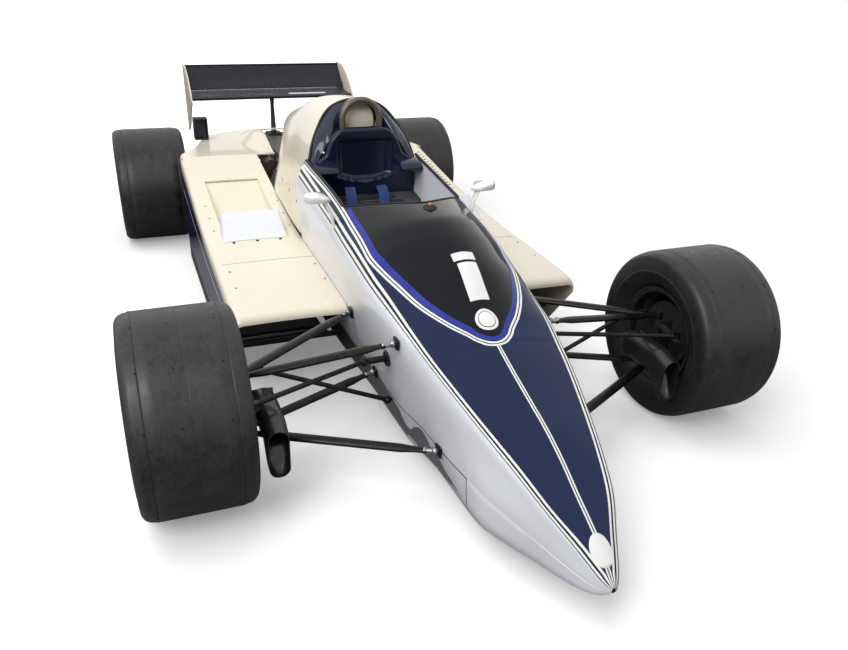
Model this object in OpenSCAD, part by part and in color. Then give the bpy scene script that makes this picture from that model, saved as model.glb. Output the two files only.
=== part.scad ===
// Open wheel racing car with side pods, a low screen, a roll hoop and a rear wing.
// The car stands on its wheels, nose toward -Y, its left side toward +X, +Z up.
// The origin is on the ground, under the middle of the car's length.
// Stations along the car are counted from the front axle, rearward positive.

/* [Overall] */
// Distance between the front and rear axles
wheelbase = 2740; // [2500:10:3300]
// Reach of the nose tip ahead of the front axle
nose_reach = 892; // [740:1:1075]
// Reach of the wing plates behind the rear axle
tail_reach = 712; // [690:1:860]
// Distance between the front wheel centres
front_track = 1795; // [1780:5:2160]
// Distance between the rear wheel centres
rear_track = 1655; // [1640:5:2000]

/* [Tyres and rims] */
// Diameter of a front tyre
front_tyre_d = 610; // [590:2:640]
// Width of a front tyre
front_tyre_w = 332; // [300:2:340]
// Diameter of a rear tyre
rear_tyre_d = 640; // [600:2:690]
// Width of a rear tyre
rear_tyre_w = 390; // [320:2:400]
// Radius of a rim's lip
rim_lip_r = 178; // [170:1:190]
// Radius of the stub axle that a wheel turns on
stub_r = 30; // [24:1:36]
// Running clearance between a stub and its hub, on the radius
stub_play = 0.06; // [0.02:0.01:0.1]

/* [Body] */
// Height of the underside of the tub
floor_z = 62; // [50:1:75]
// Height of the joint between the tub and its upper cowl
cowl_joint_z = 200; // [180:1:230]
// Thickness of the tub and cowl walls
wall = 12; // [8:1:15]
// Thickness of the side pod and deck panels
panel = 6; // [4:1:8]
// Half width over the side pods
pod_half_w = 690; // [640:5:720]
// Station of the bulkhead behind the driver
bulkhead_y = 1150; // [1120:5:1180]
// Gap left between pieces that seat on each other
seat_gap = 0.3; // [0.2:0.1:0.5]
// Height of the top of the roll hoop
hoop_top_z = 1007; // [995:1:1060]

/* [Power unit] */
// Length of the engine block
engine_l = 560; // [480:10:620]
// Length of the gearbox case ahead of the rear axle
gearbox_l = 420; // [380:10:460]
// Radius of the starter socket in the gearbox tail
starter_r = 17; // [12:1:22]
// Depth of the starter socket
starter_depth = 50; // [30:1:60]
// Radius of the rear jacking bar
jack_bar_r = 12.5; // [10:0.5:16]
// Free length of each end of the jacking bar
jack_bar_free = 70; // [50:1:90]

/* [Rear wing] */
// Overall span of the rear wing over its end plates
wing_span = 1056; // [900:2:1100]
// Thickness of a wing end plate
endplate_t = 8; // [5:1:10]
// Height of the top of the end plates
wing_top_z = 930; // [900:1:950]

/* [Steering] */
// Height of the lower ball joint of a front upright
lower_ball_z = 200; // [190:1:215]
// Height of the upper ball joint of a front upright
upper_ball_z = 383; // [370:1:395]
// Distance of the steering joints ahead of the kingpin
steer_arm_l = 150; // [130:1:165]
// Radius of the steering wheel
steer_wheel_r = 130; // [115:1:140]

/* [Hidden] */
$fn = 48;
cream = "#efe9dc";
navy = "#1b2b55";
bare_metal = "#8a8c88";
black = "#1b1b1d";

front_axle_y = nose_reach - (nose_reach + wheelbase + tail_reach) / 2;
front_hub_z = front_tyre_d / 2;
rear_hub_z = rear_tyre_d / 2;
front_wheel_x = front_track / 2;
rear_wheel_x = rear_track / 2;

// Body stations, counted from the front axle
cowl_front_y = -450;
screen_tip_y = -200;
screen_front_y = -195;
screen_back_y = 640;
screen_crown_y = 420;
pod_front_y = 450;
pod_rear_y = wheelbase - 523;
cover_tail_y = wheelbase - 290;
engine_front_y = wheelbase - gearbox_l - engine_l;
gearbox_front_y = wheelbase - gearbox_l;
gearbox_tail_y = wheelbase + 500;
hull_rows = [cowl_front_y, -300, screen_tip_y, -150, -100, 0, 100, 200, 300, 400, 500,
             screen_back_y, 800, 950, 1090, bulkhead_y];
screen_rows = [screen_front_y, -150, -100, 0, 100, 200, 300, 400, 500, screen_back_y];

// Height of the upper line of the hull along the middle
crown_line = [[-450, 390], [-300, 443], [-200, 482], [-100, 524], [0, 578], [100, 635],
              [200, 678], [300, 712], [420, 738], [640, 745]];
// Half width and height of the screen and cockpit border
border_width = [[-200, 0], [-150, 64], [-100, 112], [0, 169], [100, 202], [200, 221],
                [300, 235], [640, 235], [1090, 250]];
border_line = [[-200, 482], [-150, 497], [-100, 515], [0, 545], [100, 575], [200, 592],
               [300, 615], [400, 642], [500, 661], [640, 690], [1090, 748]];
// Half width and height of the hull's shoulder
shoulder_width = [[-450, 173], [-300, 206], [-200, 224], [-100, 240], [0, 250], [200, 269],
                  [300, 275], [640, 281], [1150, 285]];
shoulder_line = [[-450, 365], [-300, 417], [-200, 447], [-100, 478], [0, 499], [200, 540],
                 [300, 562], [500, 598], [640, 626], [1150, 690]];
// Half width of the hull near its floor
base_width = [[-450, 190], [-190, 196], [0, 222], [300, 225], [600, 232], [1150, 240]];
side_low_z = floor_z + 48;
side_high_drop = 50;
side_high_out = 13;
side_bulge = 8;
floor_tuck = 20;
// Nose stations: share of the way from tip to joint, crown height, shoulder half width and
// height, base half width and height
nose_stations = [
    [0, 135, 4, 134, 4, 118],
    [0.038, 150, 22, 146, 24, 100],
    [0.095, 172, 36, 163, 42, 92],
    [0.208, 213, 60, 198, 70, 86],
    [0.434, 270, 106, 263, 115, 82],
    [0.66, 328, 135, 309, 159, 78],
    [0.887, 373, 161, 347, 188, 68],
    [1, 390, 173, 365, 190, 62]
];
// Engine cover stations: share of the way from front to tail, then half width and height of
// the lower edge, side, hip, haunch and crown, and the height of the middle
cover_stations = [
    [0, [[288, 440], [268, 600], [237, 749], [198, 850], [120, 952], [0, 988]]],
    [0.15, [[288, 450], [265, 610], [230, 760], [190, 850], [115, 945], [0, 975]]],
    [0.3, [[285, 470], [258, 620], [222, 760], [184, 845], [112, 933], [0, 955]]],
    [0.46, [[280, 500], [250, 620], [222, 740], [190, 815], [112, 880], [0, 905]]],
    [0.7, [[190, 535], [180, 620], [160, 710], [142, 770], [95, 812], [0, 830]]],
    [0.85, [[125, 550], [122, 610], [113, 680], [98, 720], [60, 745], [0, 754]]],
    [1, [[60, 560], [58, 600], [52, 640], [42, 665], [25, 680], [0, 684]]]
];
cover_front_steps = [0, 0, 0, 40, 85, 85];
// Height of the side pod's deck by share of its length
deck_line = [[0, 372], [0.1, 385], [0.45, 420], [0.7, 480], [1, 571]];
deck_z = 571;
pod_rows = [0, 0.05, 0.15, 0.3, 0.45, 0.6, 0.8, 1];
pod_gap = 0.8;
inlet_floor_y = 600;
inlet_floor_z = 206;
pod_wall_z = 95;
skirt_z = 20;
// Underfloor stations: share of the length, height
floor_stations = [[0, 206], [0.03, 160], [0.09, 115], [0.17, 88], [0.28, 74], [0.45, 70],
                  [0.62, 90], [0.8, 135], [1, 205]];
underfloor_rear_y = wheelbase - 340;
underfloor_inner_x = 262;

// Front suspension and steering
kingpin_x = front_wheel_x - 140;
kingpin_r = 8;
pin_play = 0.06;
eye_h = 18;
eye_r = 15;
arm_r = 10;
post_gap = 5;
bracket_gap = 0.5;
upper_front_y = -45;
upper_front_z = 445;
upper_rear_y = 400;
upper_rear_z = 367;
lower_front_y = -290;
lower_front_z = 196;
lower_rear_y = 210;
lower_rear_z = 215;
steer_ball_x = kingpin_x - 35;
steer_plate_z = 352;
steer_plate_t = 10;
tie_eye_h = 16;
tie_gap = 2;
rack_y = 45;
rack_z = 350;
rack_r = 11;
rack_clear = 6;
tie_inner_x = 340;
tie_z = steer_plate_z + steer_plate_t + tie_gap + tie_eye_h / 2;
steer_centre = [0, 470, 588];
steer_rake = 20;
shaft_r = 12;

// Wheels, counted from each wheel's middle plane, outboard positive
front_rim_half = 140;
rear_rim_half = 175;
hub_inner = -95;
hub_r = 48;
web_inset = 75;
web_t = 14;
disc_r = 118;
disc_t = 17;
nut_r = 34;
nut_l = 36;
stub_end_gap = 6;
bead_drop = 13;
barrel_drop = 28;
rim_t = 8;

// Power unit
tank_half_w = 235;
tank_top_z = 620;
gearbox_half_w = 100;
gearbox_floor_z = 190;
gearbox_top_z = 500;
tail_half_w = 70;
tail_floor_z = 300;
starter_z = 370;
jack_bar_y = gearbox_tail_y - 20;
jack_bar_z = 268;
jack_lug_half = 30;

function mirror_x(p) = [-p[0], p[1], p[2]];
function mix(a, b, t) = a + (b - a) * t;
function reversed(list) = [for (i = [len(list) - 1 : -1 : 0]) list[i]];

// Half width of the hull's side at station y and height z
function skin_x(y, z) = lookup(z, side_profile(y));
function side_profile(y) =
    let (sx = lookup(y, shoulder_width), sz = lookup(y, shoulder_line), bx = lookup(y, base_width))
    [[floor_z, bx - floor_tuck], [side_low_z, bx],
     [(sz - side_high_drop + side_low_z) / 2, (sx + side_high_out + bx) / 2 + side_bulge],
     [sz - side_high_drop, sx + side_high_out], [sz, sx]];
// Half width of the hull where the pod deck meets it, constant behind the bulkhead
function pod_inner_x(y) = let (at = min(y, bulkhead_y)) skin_x(at, pod_z(at)) + pod_gap;
// Height of the pod deck at station y
function pod_z(y) = lookup((y - pod_front_y) / (pod_rear_y - pod_front_y), deck_line);

// Solid between two grids of points that have equal rows and columns
module slab(outer, inner) {
    rows = len(outer);
    cols = len(outer[0]);
    count = rows * cols;
    skin = [for (i = [0 : rows - 2]) for (j = [0 : cols - 2])
        let (a = i * cols + j, b = a + cols) each [[a, b, a + 1], [b, b + 1, a + 1]]];
    lining = [for (f = skin) [f[2] + count, f[1] + count, f[0] + count]];
    rim = concat(
        [for (j = [0 : cols - 2]) [j, j + 1]],
        [for (i = [0 : rows - 2]) [(i + 1) * cols - 1, (i + 2) * cols - 1]],
        [for (j = [cols - 1 : -1 : 1]) [count - cols + j, count - cols + j - 1]],
        [for (i = [rows - 1 : -1 : 1]) [i * cols, (i - 1) * cols]]);
    walls = [for (e = rim) each [[e[0], e[1], e[1] + count], [e[0], e[1] + count, e[0] + count]]];
    polyhedron(concat([for (r = outer) each r], [for (r = inner) each r]),
               concat(skin, lining, walls));
}

// Solid through closed rings of points, capped at both ends
module loft(rings) {
    n = len(rings[0]);
    last = (len(rings) - 1) * n;
    sides = [for (i = [0 : len(rings) - 2]) for (j = [0 : n - 1])
        let (a = i * n + j, b = i * n + (j + 1) % n) each [[a, a + n, b], [b, a + n, b + n]]];
    caps = [[for (j = [0 : n - 1]) j], [for (j = [n - 1 : -1 : 0]) last + j]];
    polyhedron([for (r = rings) each r], concat(sides, caps));
}

// Round bar from point a to point b
module bar(a, b, r) {
    d = b - a;
    translate(a)
        rotate([0, acos(d[2] / norm(d)), atan2(d[1], d[0])])
            cylinder(r = r, h = norm(d));
}

// Both sides of the car from a shape on its left side
module both_sides() {
    children();
    mirror([1, 0, 0]) children();
}

// Places a shape built from the front axle in the car's frame
module car() {
    translate([0, front_axle_y, 0]) children();
}

// Extrudes a side outline of [station, height] points across the car, x0 to x1
module side_plate(outline, x0, x1) {
    translate([x0, 0, 0])
        rotate([90, 0, 90])
            linear_extrude(x1 - x0) polygon(outline);
}

// Extrudes a front outline of [x, height] points along the car, y0 to y1
module cross_plate(outline, y0, y1) {
    translate([0, y1, 0])
        rotate([90, 0, 0])
            linear_extrude(y1 - y0) polygon(outline);
}

// ---------------------------------------------------------------- body

function nose_ring(s) =
    let (y = mix(-nose_reach, cowl_front_y - seat_gap, s[0]),
         c = s[1], sx = s[2], sz = s[3], bx = s[4], bz = s[5],
         k = min(1, (sz - bz) / 300),
         right = [[0, c], [sx * 0.55, mix(c, sz, 0.3)], [sx, sz],
                  [sx + side_high_out * k, sz - side_high_drop * k],
                  [(sx + side_high_out * k + bx) / 2 + side_bulge * k, (sz + bz) / 2],
                  [bx, bz + 48 * k], [bx - floor_tuck * k, bz]],
         left = [for (i = [len(right) - 1 : -1 : 1]) [-right[i][0], right[i][1]]])
    [for (p = concat(right, left)) [p[0], y, p[1]]];

module nose_cowl() {
    color(cream) car() loft([for (s = nose_stations) nose_ring(s)]);
}

// One row of the upper cowl's left half, from the middle or the border down to the tub
function cowl_row(y, inset) =
    let (open = y > screen_tip_y,
         ex = open ? lookup(y, border_width) : 0,
         ez = open ? lookup(y, border_line) : lookup(y, crown_line),
         sx = lookup(y, shoulder_width), sz = lookup(y, shoulder_line),
         low = cowl_joint_z + seat_gap, high = sz - side_high_drop,
         mid = (high + side_low_z) / 2)
    [[ex, y, ez - inset], [mix(ex, sx, 0.55), y, mix(ez, sz, 0.4) - inset],
     [sx - inset, y, sz - inset], [sx + side_high_out - inset, y, high],
     [skin_x(y, max(mid, low + 20)) - inset, y, max(mid, low + 20)],
     [skin_x(y, low) - inset, y, low]];

module cockpit_cowl() {
    color(cream) car() difference() {
        both_sides()
            slab([for (y = hull_rows) cowl_row(y, 0)], [for (y = hull_rows) cowl_row(y, wall)]);
        translate([-400, rack_y, rack_z])
            rotate([0, 90, 0]) cylinder(r = rack_r + rack_clear, h = 800);
    }
}

// One row of the tub, from its left upper edge round the floor to its right one
function tub_row(y, inset) =
    let (bx = lookup(y, base_width) - inset,
         right = [[bx - floor_tuck + inset * 0.6, y, floor_z + inset],
                  [bx, y, side_low_z + inset * 0.3],
                  [skin_x(y, cowl_joint_z) - inset, y, cowl_joint_z]])
    concat([for (p = reversed(right)) mirror_x(p)], right);

module tub_bulkhead() {
    z0 = floor_z + wall;
    x0 = lookup(bulkhead_y, base_width) - wall;
    x1 = skin_x(bulkhead_y, tank_top_z) - wall - 2;
    cross_plate([[-x0 + 10, z0], [x0 - 10, z0], [x0 + 2, cowl_joint_z], [x1, tank_top_z],
                 [-x1, tank_top_z], [-x0 - 2, cowl_joint_z]], bulkhead_y - wall, bulkhead_y);
}

module fuel_tank() {
    cross_plate([[-tank_half_w + 20, floor_z], [tank_half_w - 20, floor_z],
                 [tank_half_w, side_low_z], [tank_half_w, tank_top_z],
                 [-tank_half_w, tank_top_z], [-tank_half_w, side_low_z]],
                bulkhead_y, engine_front_y);
}

module monocoque() {
    rows = hull_rows;
    color("silver") car() {
        slab([for (y = rows) tub_row(y, wall)], [for (y = rows) tub_row(y, 0)]);
        tub_bulkhead();
        fuel_tank();
    }
}

screen_t = 5;
screen_spread = [-1, -0.85, -0.65, -0.35, 0, 0.35, 0.65, 0.85, 1];

// Point of the screen at row station y along its edge and at share s across it
function screen_point(row, s, drop) =
    let (t = (row - screen_front_y) / (screen_back_y - screen_front_y),
         back = mix(screen_crown_y, screen_back_y, abs(s) ^ 1.6),
         y = mix(screen_front_y, back, t),
         bx = lookup(y, border_width) - seat_gap,
         bz = lookup(y, border_line), cz = lookup(y, crown_line))
    [s * bx, y, mix(cz, bz, s * s) - drop];

module windscreen() {
    color("dimgray") car()
        slab([for (r = screen_rows) [for (s = screen_spread) screen_point(r, s, 0)]],
             [for (r = screen_rows) [for (s = screen_spread) screen_point(r, s, screen_t)]]);
}

// ---------------------------------------------------------------- cockpit

dash_y = 330;
dash_t = 12;
column_r = 20;

module dashboard() {
    side = skin_x(dash_y, 480) - wall - pod_gap;
    foot = skin_x(dash_y, 330) - wall - pod_gap;
    housing = skin_x(rack_y - 2 * rack_r, rack_z - 2 * rack_r) - wall - seat_gap;
    color(black) car() {
        difference() {
            union() {
                cross_plate([[-foot, 330], [foot, 330], [side, 480], [210, 560], [150, 640],
                             [70, 682], [-70, 682], [-150, 640], [-210, 560], [-side, 480]],
                            dash_y, dash_y + dash_t);
                bar(column_point(-220), column_point(-100), column_r);
            }
            bar(column_point(-221), column_point(-99), shaft_r + pin_play);
        }
        difference() {
            translate([-housing, rack_y, rack_z])
                rotate([0, 90, 0]) cylinder(r = rack_r * 2, h = housing * 2);
            translate([-housing - 1, rack_y, rack_z])
                rotate([0, 90, 0]) cylinder(r = rack_r + pin_play, h = housing * 2 + 2);
        }
    }
}

// Point on the steering column's axis, d beyond the wheel's centre toward the driver
function column_point(d) = steer_centre + d * [0, cos(steer_rake), sin(steer_rake)];

module steering_wheel() {
    color(black) car() {
        translate(steer_centre)
            rotate([steer_rake - 90, 0, 0]) {
                rotate_extrude() translate([steer_wheel_r - 12, 0]) circle(r = 12);
                for (a = [90, 210, 330])
                    rotate([0, 0, a]) translate([20, -12, -3]) cube([steer_wheel_r - 36, 24, 6]);
                translate([0, 0, -12]) cylinder(r = 32, h = 24);
            }
        bar(column_point(-230), column_point(0), shaft_r);
    }
}

seat_half_w = 165;

module seat() {
    z0 = floor_z + wall + seat_gap;
    back_y = bulkhead_y - wall - seat_gap;
    color(black) car()
        side_plate([[520, z0], [800, z0], [960, z0 + 30], [back_y, 480], [back_y, 592],
                    [back_y - 40, 600], [900, 190], [780, z0 + 30], [520, z0 + 50]],
                   -seat_half_w, seat_half_w);
}

module headrest() {
    back_y = bulkhead_y - wall - seat_gap;
    color(navy) car()
        cross_plate([[-232, 603], [232, 603], [236, 730], [205, 758], [180, 775], [150, 840],
                     [112, 878], [60, 888], [-60, 888], [-112, 878], [-150, 840], [-180, 775],
                     [-205, 758], [-236, 730]], back_y - 30, back_y);
}

hoop_half_w = 95;
hoop_depth = 80;
hoop_band = 12;

module roll_hoop() {
    mid_z = hoop_top_z - hoop_half_w;
    color("peru") car()
        translate([0, bulkhead_y + hoop_depth, 0])
            rotate([90, 0, 0])
                linear_extrude(hoop_depth) difference() {
                    union() {
                        translate([0, mid_z]) circle(r = hoop_half_w);
                        translate([-hoop_half_w, tank_top_z + seat_gap])
                            square([2 * hoop_half_w, mid_z - tank_top_z - seat_gap]);
                    }
                    translate([0, mid_z]) circle(r = hoop_half_w - hoop_band);
                    translate([-hoop_half_w + hoop_band, tank_top_z])
                        square([2 * (hoop_half_w - hoop_band), mid_z - tank_top_z]);
                }
}

mirror_x0 = 288;
mirror_w = 92;
mirror_y = 590;
mirror_d = 55;
mirror_z = 708;
mirror_h = 50;

module mirrors() {
    foot = [skin_x(615, 565) + seat_gap, 615, 556];
    color(cream) car() both_sides() {
        translate([mirror_x0, mirror_y, mirror_z]) cube([mirror_w, mirror_d, mirror_h]);
        bar(foot, foot + [9, 0, 0], 9);
        bar(foot + [6, 0, 0], [mirror_x0 + mirror_w / 2, 615, mirror_z + 2], 5);
    }
}

// ---------------------------------------------------------------- pods, deck and floor

// One row of the left pod's skin at share u of its length
function pod_row(u, inset) =
    let (front = [pod_front_y + 8, pod_front_y + 4, pod_front_y, pod_front_y - 3, pod_front_y,
                  pod_front_y + 60, pod_front_y + 190],
         ys = [for (f = front) mix(f, pod_rear_y, u)],
         inner = pod_inner_x(ys[0]), w = pod_half_w - inset)
    [[inner, ys[0], pod_z(ys[0]) - inset],
     [mix(inner, pod_half_w, 0.5), ys[1], pod_z(ys[1]) + pod_crown - inset],
     [pod_half_w - 70, ys[2], pod_z(ys[2]) + 2 - inset],
     [pod_half_w - 22 - inset * 0.4, ys[3], pod_z(ys[3]) - 5 - inset],
     [w, ys[4], pod_z(ys[4]) - 28],
     [w, ys[5], mix(pod_z(ys[5]), pod_wall_z, 0.35)],
     [w, ys[6], pod_wall_z]];

pod_crown = 3;
exit_x0 = 350;
exit_x1 = 618;
exit_y0 = 1030;
exit_y1 = 1740;
ramp_y = 1380;
ramp_drop = 95;

module sidepod() {
    ramp = [[ramp_y, pod_z(ramp_y) - ramp_drop], [exit_y1, pod_z(exit_y1) - 2]];
    difference() {
        slab([for (u = pod_rows) pod_row(u, 0)], [for (u = pod_rows) pod_row(u, panel)]);
        translate([exit_x0, exit_y0, 300]) cube([exit_x1 - exit_x0, exit_y1 - exit_y0, 400]);
    }
    side_plate([ramp[0] - [0, panel], ramp[1] - [0, panel], [exit_y1 + 30, ramp[1][1] - panel],
                [exit_y1 + 30, ramp[1][1] + 1], ramp[1], ramp[0]], exit_x0 - 8, exit_x1 + 8);
}

module sidepod_left() {
    color(cream) car() sidepod();
}

module sidepod_right() {
    color(cream) car() mirror([1, 0, 0]) sidepod();
}

flap_y = 950;
flap_rise = 105;
flap_run = 140;

module radiator_flaps() {
    z0 = pod_z(flap_y) + pod_crown + seat_gap;
    color(cream) car() both_sides()
        side_plate([[flap_y, z0], [flap_y + flap_run, z0 + flap_rise],
                    [flap_y + flap_run - 4, z0 + flap_rise + panel], [flap_y - 4, z0 + panel]],
                   exit_x0 + 4, exit_x1 + 18);
}

radiator_t = 45;

module radiators() {
    base = [820, 138];
    top = [1000, 365];
    n = [-(top - base)[1], (top - base)[0]] / norm(top - base) * radiator_t;
    color(black) car() both_sides()
        side_plate([base, base - n, top - n, top], pod_inner_x(base[0]) + 30,
                   pod_half_w - panel - seat_gap);
}

module skirts() {
    color(black) car() both_sides()
        side_plate([[pod_front_y + 200, skirt_z], [pod_rear_y, skirt_z],
                    [pod_rear_y, pod_wall_z - seat_gap],
                    [pod_front_y + 190, pod_wall_z - seat_gap]], pod_half_w - panel, pod_half_w);
}

module underfloor() {
    under = [for (s = floor_stations) [mix(inlet_floor_y, underfloor_rear_y, s[0]), s[1]]];
    over = [for (p = reversed(under)) p + [0, panel]];
    color(black) car() both_sides()
        side_plate(concat(under, over), underfloor_inner_x, pod_half_w - panel - seat_gap);
}

// Outline of one rear deck panel, from its front inner corner round by the wheel
deck_inner_x = 180;
deck_outline = [[690, 0], [682, 80], [655, 150], [600, 243], [555, 383], [520, 513], [492, 600],
                [430, 660], [300, 735], [134, 780]];
deck_wall_run = [[690, 0], [682, 80], [655, 150], [632, 188]];

module rear_deck_half() {
    y0 = pod_rear_y + seat_gap;
    outline = [for (p = deck_outline) [min(p[0], pod_half_w), y0 + p[1]]];
    run = [for (p = deck_wall_run) [min(p[0], pod_half_w), y0 + p[1]]];
    translate([0, 0, deck_z - panel])
        linear_extrude(panel)
            polygon(concat([[deck_inner_x, y0]], outline, [[134, y0 + 560]]));
    translate([0, 0, deck_z - 200])
        linear_extrude(200)
            polygon(concat(run, [for (p = reversed(run)) p - [panel, 0]]));
    hull() for (p = [[215, 230, 34], [235, 520, 30], [190, 640, 18]])
        translate([p[0], y0 + p[1], deck_z - 1])
            scale([1, 1, 1]) cylinder(r1 = p[2] + 22, r2 = p[2] - 8, h = 52, $fn = 24);
}

module rear_deck() {
    color(cream) car() {
        both_sides() rear_deck_half();
        translate([-134, pod_rear_y + 740, deck_z - panel]) cube([268, 40, panel]);
    }
}

module engine_cover() {
    function half_row(s, inset) = [for (i = [0 : 5])
        let (p = s[1][i],
             y0 = bulkhead_y + seat_gap + cover_front_steps[i],
             y = mix(y0, cover_tail_y, s[0]),
             nx = i < 3 ? 1 : (i == 3 ? 0.85 : (i == 4 ? 0.5 : 0)),
             nz = i < 3 ? 0 : (i == 3 ? 0.5 : (i == 4 ? 0.85 : 1)))
        [p[0] - inset * nx, y, p[1] - inset * nz]];
    function row(s, inset) = let (h = half_row(s, inset))
        concat([for (p = h) mirror_x(p)], [for (i = [4 : -1 : 0]) h[i]]);
    color(cream) car()
        slab([for (s = cover_stations) row(s, 0)], [for (s = cover_stations) row(s, panel)]);
}

module oil_cooler_scoop() {
    z0 = deck_z + seat_gap;
    y0 = pod_rear_y + 470;
    color(black) car() difference() {
        translate([-560, y0, z0]) cube([80, 70, 125]);
        translate([-552, y0 - 1, z0 + 40]) cube([64, 55, 77]);
    }
}

// ---------------------------------------------------------------- power unit

module engine() {
    color(bare_metal) car()
        cross_plate([[-110, 110], [110, 110], [150, 200], [255, 380], [262, 430], [215, 492],
                     [150, 470], [90, 560], [-90, 560], [-150, 470], [-215, 492], [-262, 430],
                     [-255, 380], [-150, 200]], engine_front_y + seat_gap, gearbox_front_y);
}

module gearbox() {
    color(bare_metal) car() difference() {
        union() {
            cross_plate([[-gearbox_half_w, gearbox_floor_z], [gearbox_half_w, gearbox_floor_z],
                         [gearbox_half_w, gearbox_top_z], [-gearbox_half_w, gearbox_top_z]],
                        gearbox_front_y + seat_gap, wheelbase + 190);
            cross_plate([[-tail_half_w, tail_floor_z], [tail_half_w, tail_floor_z],
                         [tail_half_w, gearbox_top_z], [-tail_half_w, gearbox_top_z]],
                        wheelbase + 180, gearbox_tail_y);
            translate([-jack_lug_half, jack_bar_y - 20, jack_bar_z - 22])
                cube([2 * jack_lug_half, 40, tail_floor_z - jack_bar_z + 32]);
            translate([-jack_lug_half - jack_bar_free, jack_bar_y, jack_bar_z])
                rotate([0, 90, 0])
                    cylinder(r = jack_bar_r, h = 2 * (jack_lug_half + jack_bar_free));
        }
        translate([0, gearbox_tail_y + 1, starter_z])
            rotate([90, 0, 0]) cylinder(r = starter_r, h = starter_depth + 1);
    }
}

head_lean = 37;
exhaust_x = 222;
exhaust_z = 528;
exhaust_r = 28;

// One bank's manifold on the head's outer face, and its tail pipe
module exhaust() {
    lift = seat_gap * [cos(head_lean), sin(head_lean)];
    y0 = gearbox_front_y - 225;
    y1 = wheelbase + 235;
    color("sienna") car() both_sides() difference() {
        union() {
            cross_plate([[250, 446] + lift, [222, 483] + lift, [212, exhaust_z], [246, exhaust_z]],
                        y0, y0 + 200);
            bar([exhaust_x, y0 + 20, exhaust_z], [exhaust_x, y1, exhaust_z], exhaust_r);
        }
        bar([exhaust_x, y1 - 120, exhaust_z], [exhaust_x, y1 + 1, exhaust_z], exhaust_r - 3);
    }
}

// ---------------------------------------------------------------- rear wing

// Aerofoil outline of a chord, thick share and camber share, nose at the origin
function foil(chord, thick, camber) =
    let (xs = [0, 0.02, 0.06, 0.14, 0.28, 0.45, 0.65, 0.85, 1],
         half = [for (t = xs) 5 * thick * (0.2969 * sqrt(t) - 0.126 * t - 0.3516 * t ^ 2
                                           + 0.2843 * t ^ 3 - 0.1 * t ^ 4)],
         mid = [for (t = xs) -4 * camber * t * (1 - t)],
         lower = [for (i = [0 : 8]) [xs[i], mid[i] - half[i]] * chord],
         upper = [for (i = [8 : -1 : 1]) [xs[i], mid[i] + half[i]] * chord])
    concat(lower, upper);
function turned(points, a, at) =
    [for (p = points) at + [p[0] * cos(a) - p[1] * sin(a), p[0] * sin(a) + p[1] * cos(a)]];

wing_inner = wing_span / 2 - endplate_t;
main_nose = [wheelbase + 332, 753];
main_chord = 225;
flap_nose = [wheelbase + 540, 792];
flap_chord = 180;

module rear_wing() {
    color(navy) car()
        side_plate(wing_line, -wing_inner, wing_inner);
}

module rear_wing_flap() {
    color(navy) car()
        side_plate(turned(foil(flap_chord, 0.1, 0.06), 43, flap_nose), -wing_inner, wing_inner);
}

module wing_endplates() {
    y = wheelbase + tail_reach;
    top = wing_top_z;
    outline = [[y, top], [y - 132, top - 8], [y - 200, top - 30], [y - 262, top - 62],
               [y - 330, top - 110], [y - 388, top - 160], [y - 402, top - 190],
               [y - 380, top - 215], [y - 312, top - 245], [y - 150, top - 370],
               [y - 12, top - 432], [y, top - 425]];
    color("white") car() both_sides() side_plate(outline, wing_inner, wing_inner + endplate_t);
}

post_y = wheelbase + 440;
wing_line = turned(foil(main_chord, 0.12, 0.07), 6, main_nose);

module wing_post() {
    color(black) car() {
        head = [for (i = [6, 5, 4]) wing_line[i] - [0, seat_gap]];
        side_plate(concat([[post_y - 60, gearbox_top_z + seat_gap],
                           [post_y + 50, gearbox_top_z + seat_gap], [post_y + 20, 690]],
                          head, [[post_y - 25, 690]]), -8, 8);
        translate([-45, post_y - 60, gearbox_top_z + seat_gap]) cube([90, 110, 12]);
    }
}

// ---------------------------------------------------------------- suspension

// Seat of an arm's inner end on the hull's side
function pickup(y, z) = [skin_x(y, z) + 14 + bracket_gap, y, z];

// Wishbone of two legs from the hull to an eye on the kingpin
module wishbone(front, rear, eye_z) {
    difference() {
        union() {
            for (p = [front, rear]) {
                bar(p, [kingpin_x, 0, eye_z], arm_r);
                translate(p) rotate([0, 0, 180]) sphere(r = 14);
            }
            translate([kingpin_x, 0, eye_z - eye_h / 2]) cylinder(r = eye_r, h = eye_h);
        }
        translate([kingpin_x, 0, eye_z - eye_h]) cylinder(r = kingpin_r + pin_play, h = 2 * eye_h);
        for (s = [-1, 1])
            translate([kingpin_x, 0, eye_z + s * eye_h])
                cylinder(r = eye_r + 12, h = eye_h, center = true);
    }
}

module front_upper_wishbones() {
    color(bare_metal) car() both_sides()
        wishbone(pickup(upper_front_y, upper_front_z), pickup(upper_rear_y, upper_rear_z),
                 upper_ball_z);
}

module front_lower_wishbones() {
    color(bare_metal) car() both_sides()
        wishbone(pickup(lower_front_y, lower_front_z + cowl_joint_z - 200),
                 pickup(lower_rear_y, lower_rear_z), lower_ball_z);
}

module front_pull_rods() {
    rear = pickup(upper_rear_y, upper_rear_z);
    t = 0.8;
    arm = rear + t * ([kingpin_x, 0, upper_ball_z] - rear);
    top = arm - [0, 0, arm_r + 12 + bracket_gap];
    low = pickup(75, 176);
    color(bare_metal) car() both_sides() {
        bar(low, top, 8);
        translate(low) rotate([0, 0, 180]) sphere(r = 14);
        translate(top) sphere(r = 12);
    }
}

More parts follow.
